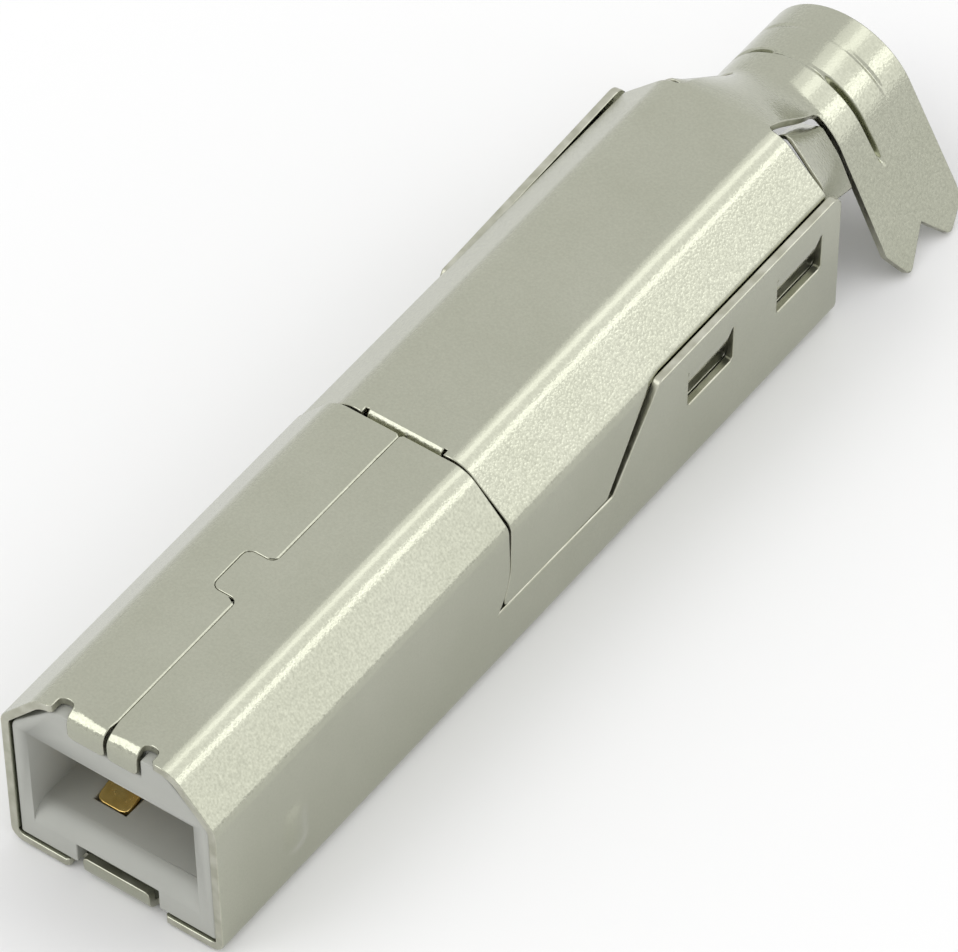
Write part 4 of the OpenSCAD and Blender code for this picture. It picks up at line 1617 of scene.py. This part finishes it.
@dataclass
class Insulator:
    """Moulded insulator, taken from its CAD solid with softened edges. Angles are in degrees."""

    name: ClassVar[str] = "insulator_moulding"
    rounding: float = 0.06
    flat_below: float = 0.5
    sharp_from: float = 50.0
    mouth_half: float = 3.1
    mouth_depth: float = 0.85
    mouth_margin: float = 0.05

    def build(self, plastic: Material) -> Object:
        """Make the moulded piece.

        Args:
            plastic: Finish of the moulding.

        Returns:
            The piece.
        """
        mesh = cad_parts["insulator"].data.copy()
        mesh.transform(Matrix.Scale(1 / MM, 4))
        work = bmesh.new()
        work.from_mesh(mesh)
        flat = math.radians(self.flat_below)
        bmesh.ops.remove_doubles(work, verts=work.verts, dist=TINY)
        bmesh.ops.dissolve_limit(work, angle_limit=flat, verts=work.verts, edges=work.edges)
        self.mark(work)
        work.to_mesh(mesh)
        work.free()
        mesh.materials.clear()
        mesh.materials.append(plastic)
        worker = placed(self.name, mesh)
        soften(worker, self.rounding)
        return bake(worker, self.name)

    def mark(self, work: bmesh.types.BMesh) -> None:
        """Mark the edges to round. Those at the sides of the mouth, where the lead-in runs out, stay crisp.

        Args:
            work: Mesh to mark.
        """
        weight = work.edges.layers.float.new("bevel_weight_edge")
        for face in work.faces:
            face.smooth = True
        for edge in work.edges:
            if edge.calc_face_angle(0.0) < math.radians(self.sharp_from):
                continue
            middle = (edge.verts[0].co + edge.verts[1].co) / 2
            beside_mouth = abs(abs(middle.x) - self.mouth_half) <= self.mouth_margin
            edge.smooth = not beside_mouth or middle.y > self.mouth_depth
            edge[weight] = float(edge.smooth)


class Plug:
    """The whole plug, piece by piece."""

    contact_nodes: ClassVar[tuple[str, ...]] = (
        "contact_power_upper",
        "contact_power_lower",
        "contact_data_upper",
        "contact_data_lower",
    )

    def build(self) -> None:
        """Build every piece and fix it to the CAD frame."""
        finishes = Finishes.mixed()
        sheet = (finishes.nickel, finishes.edge)
        base, cover = BaseShell(), Cover()
        self.fix(bake(base.worker(sheet), base.name), "shell", "base_shell")
        self.fix(bake(cover.worker(sheet), cover.name), "shell", "top_cover")
        self.fix(Insulator().build(finishes.plastic), "insulator", "insulator")
        self.fix(ContactSet().build(finishes.gold), "contact", *self.contact_nodes)

    def fix(self, piece: Object, slot: str, *nodes: str) -> None:
        """Let a piece stand for CAD nodes.

        Args:
            piece: The finished piece.
            slot: Not used.
            *nodes: CAD nodes that the piece stands for.
        """
        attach(piece, "root")
        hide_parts(*nodes)


# Studio


@dataclass(frozen=True)
class SoftBox:
    """Rectangular studio light, placed so that a sloping face mirrors it to the camera.

    A slope is the face's turn from level in degrees, and the spread is how far it may turn each way. The length and
    the distance are in metres.
    """

    name: str
    slope: float
    spread: float
    length: float
    radiance: float
    forward: bool = False
    distance: float = 0.4

    def mirrored(self, slope: float) -> Vector:
        """Direction that a face sends to the camera.

        Args:
            slope: Turn of the face, toward the plug's front or toward its near side.

        Returns:
            The direction, pointing away from the plug.
        """
        angle = math.radians(slope)
        lean = Vector((0, -math.sin(angle), 0)) if self.forward else Vector((math.sin(angle), 0, 0))
        face = lean + Vector((0, 0, math.cos(angle)))
        return 2 * face.dot(TO_CAMERA) * face - TO_CAMERA

    def place(self, target: Vector) -> Object:
        """Hang the light.

        Args:
            target: Point that the light faces.

        Returns:
            The light's object.
        """
        light = bpy.data.lights.new(self.name, "AREA")
        light.shape = "RECTANGLE"
        way = self.mirrored(self.slope)
        turn = (self.mirrored(self.slope + 1) - self.mirrored(self.slope - 1)) / 2
        light.size = self.length
        light.size_y = 2 * self.distance * math.tan(self.spread * turn.length)
        light.energy = self.radiance * math.pi * light.size * light.size_y
        across = (turn - turn.dot(way) * way).normalized()
        lamp = placed(self.name, light)
        aim = Matrix((across.cross(way), across, way)).transposed()
        lamp.matrix_world = Matrix.Translation(target + way * self.distance) @ aim.to_4x4()
        return lamp


@dataclass
class Studio:
    """Floor, lights, surroundings and camera of the picture, with lengths in metres and angles in degrees."""

    middle: float = 0.017
    floor_half: float = 2.0
    floor_gap: float = 0.08 * MM
    floor_tone: float = 0.85
    floor_roughness: float = 0.9
    floor_gloss: float = 0.1
    room_level: float = 0.92
    camera_place: Corner = (0.107867, -0.120762, 0.194306)
    camera_turn: Corner = (37.81, 48.08, -2.03)
    sensor_width: float = 36.0
    lens: float = 322.8
    clipping: Span = (0.01, 10.0)
    lights: tuple[SoftBox, ...] = (
        SoftBox("chamfer_fill", 32, 23, 0.3, 0.53),
        SoftBox("fold_strip_upper", 18.5, 3.2, 0.28, 0.6),
        SoftBox("fold_strip_lower", 38.0, 4.0, 0.28, 0.92),
        SoftBox("front_fill", 36, 13, 0.2, 1.45, forward=True),
    )

    def build(self) -> None:
        """Set the whole stage."""
        self.floor()
        self.surroundings()
        for light in self.lights:
            light.place(Vector((0, self.middle, 0)))
        self.camera()
        bpy.context.scene.view_settings.view_transform = "Standard"

    def floor(self) -> None:
        """Lay a plain pale floor under the plug."""
        mesh = bpy.data.meshes.new("floor")
        half, height = self.floor_half, -(SHELL_HEIGHT / 2 * MM + self.floor_gap)
        corners = [(-half, -half), (half, -half), (half, half), (-half, half)]
        mesh.from_pydata([(x, y, height) for x, y in corners], [], [(0, 1, 2, 3)])
        paint = ShaderGraph("pale_floor").surface(
            Base_Color=(*[self.floor_tone] * 3, 1),
            Roughness=self.floor_roughness,
            Specular_IOR_Level=self.floor_gloss,
        )
        mesh.materials.append(paint)
        floor = placed("floor", mesh)
        floor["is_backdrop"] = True

    def surroundings(self) -> None:
        """Light the room a plain grey, which the camera and the shiny pieces see as white."""
        world = bpy.data.worlds.new("room")
        world.use_nodes = True
        graph = NodeGraph(world.node_tree)
        path = graph.add("ShaderNodeLightPath").outputs
        seen = path["Is Camera Ray"]
        for kind in ("Is Glossy Ray", "Is Transmission Ray"):
            seen = graph.add("ShaderNodeMath", seen, path[kind], operation="MAXIMUM").outputs[0]
        room, white = (
            graph.add("ShaderNodeBackground", Color=(level, level, level, 1)).outputs[0]
            for level in (self.room_level, 1.0)
        )
        mix = graph.add("ShaderNodeMixShader", seen, room, white)
        graph.add("ShaderNodeOutputWorld", Surface=mix.outputs[0])
        bpy.context.scene.world = world

    def camera(self) -> None:
        """Look at the plug as the photo does."""
        data = bpy.data.cameras.new("photo_view")
        data.sensor_width = self.sensor_width
        data.lens = self.lens
        data.clip_start, data.clip_end = self.clipping
        azimuth, elevation, roll = (math.radians(a) for a in self.camera_turn)
        level = math.cos(elevation)
        back = Vector((math.sin(azimuth) * level, -math.cos(azimuth) * level, math.sin(elevation)))
        right = Vector((math.cos(azimuth), math.sin(azimuth), 0))
        up = back.cross(right)
        side = right * math.cos(roll) + up * math.sin(roll)
        top = up * math.cos(roll) - right * math.sin(roll)
        turn = Matrix((side, top, back)).transposed()
        camera = placed("photo_view", data)
        camera.matrix_world = Matrix.Translation(self.camera_place) @ turn.to_4x4()
        bpy.context.scene.camera = camera


def main() -> None:
    """Build the plug's looks and the studio."""
    Plug().build()
    Studio().build()


if __name__ == "__main__":
    main()
    [[list(corner) for corner in pair] for pair in (CAD_BOUNDS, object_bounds())]
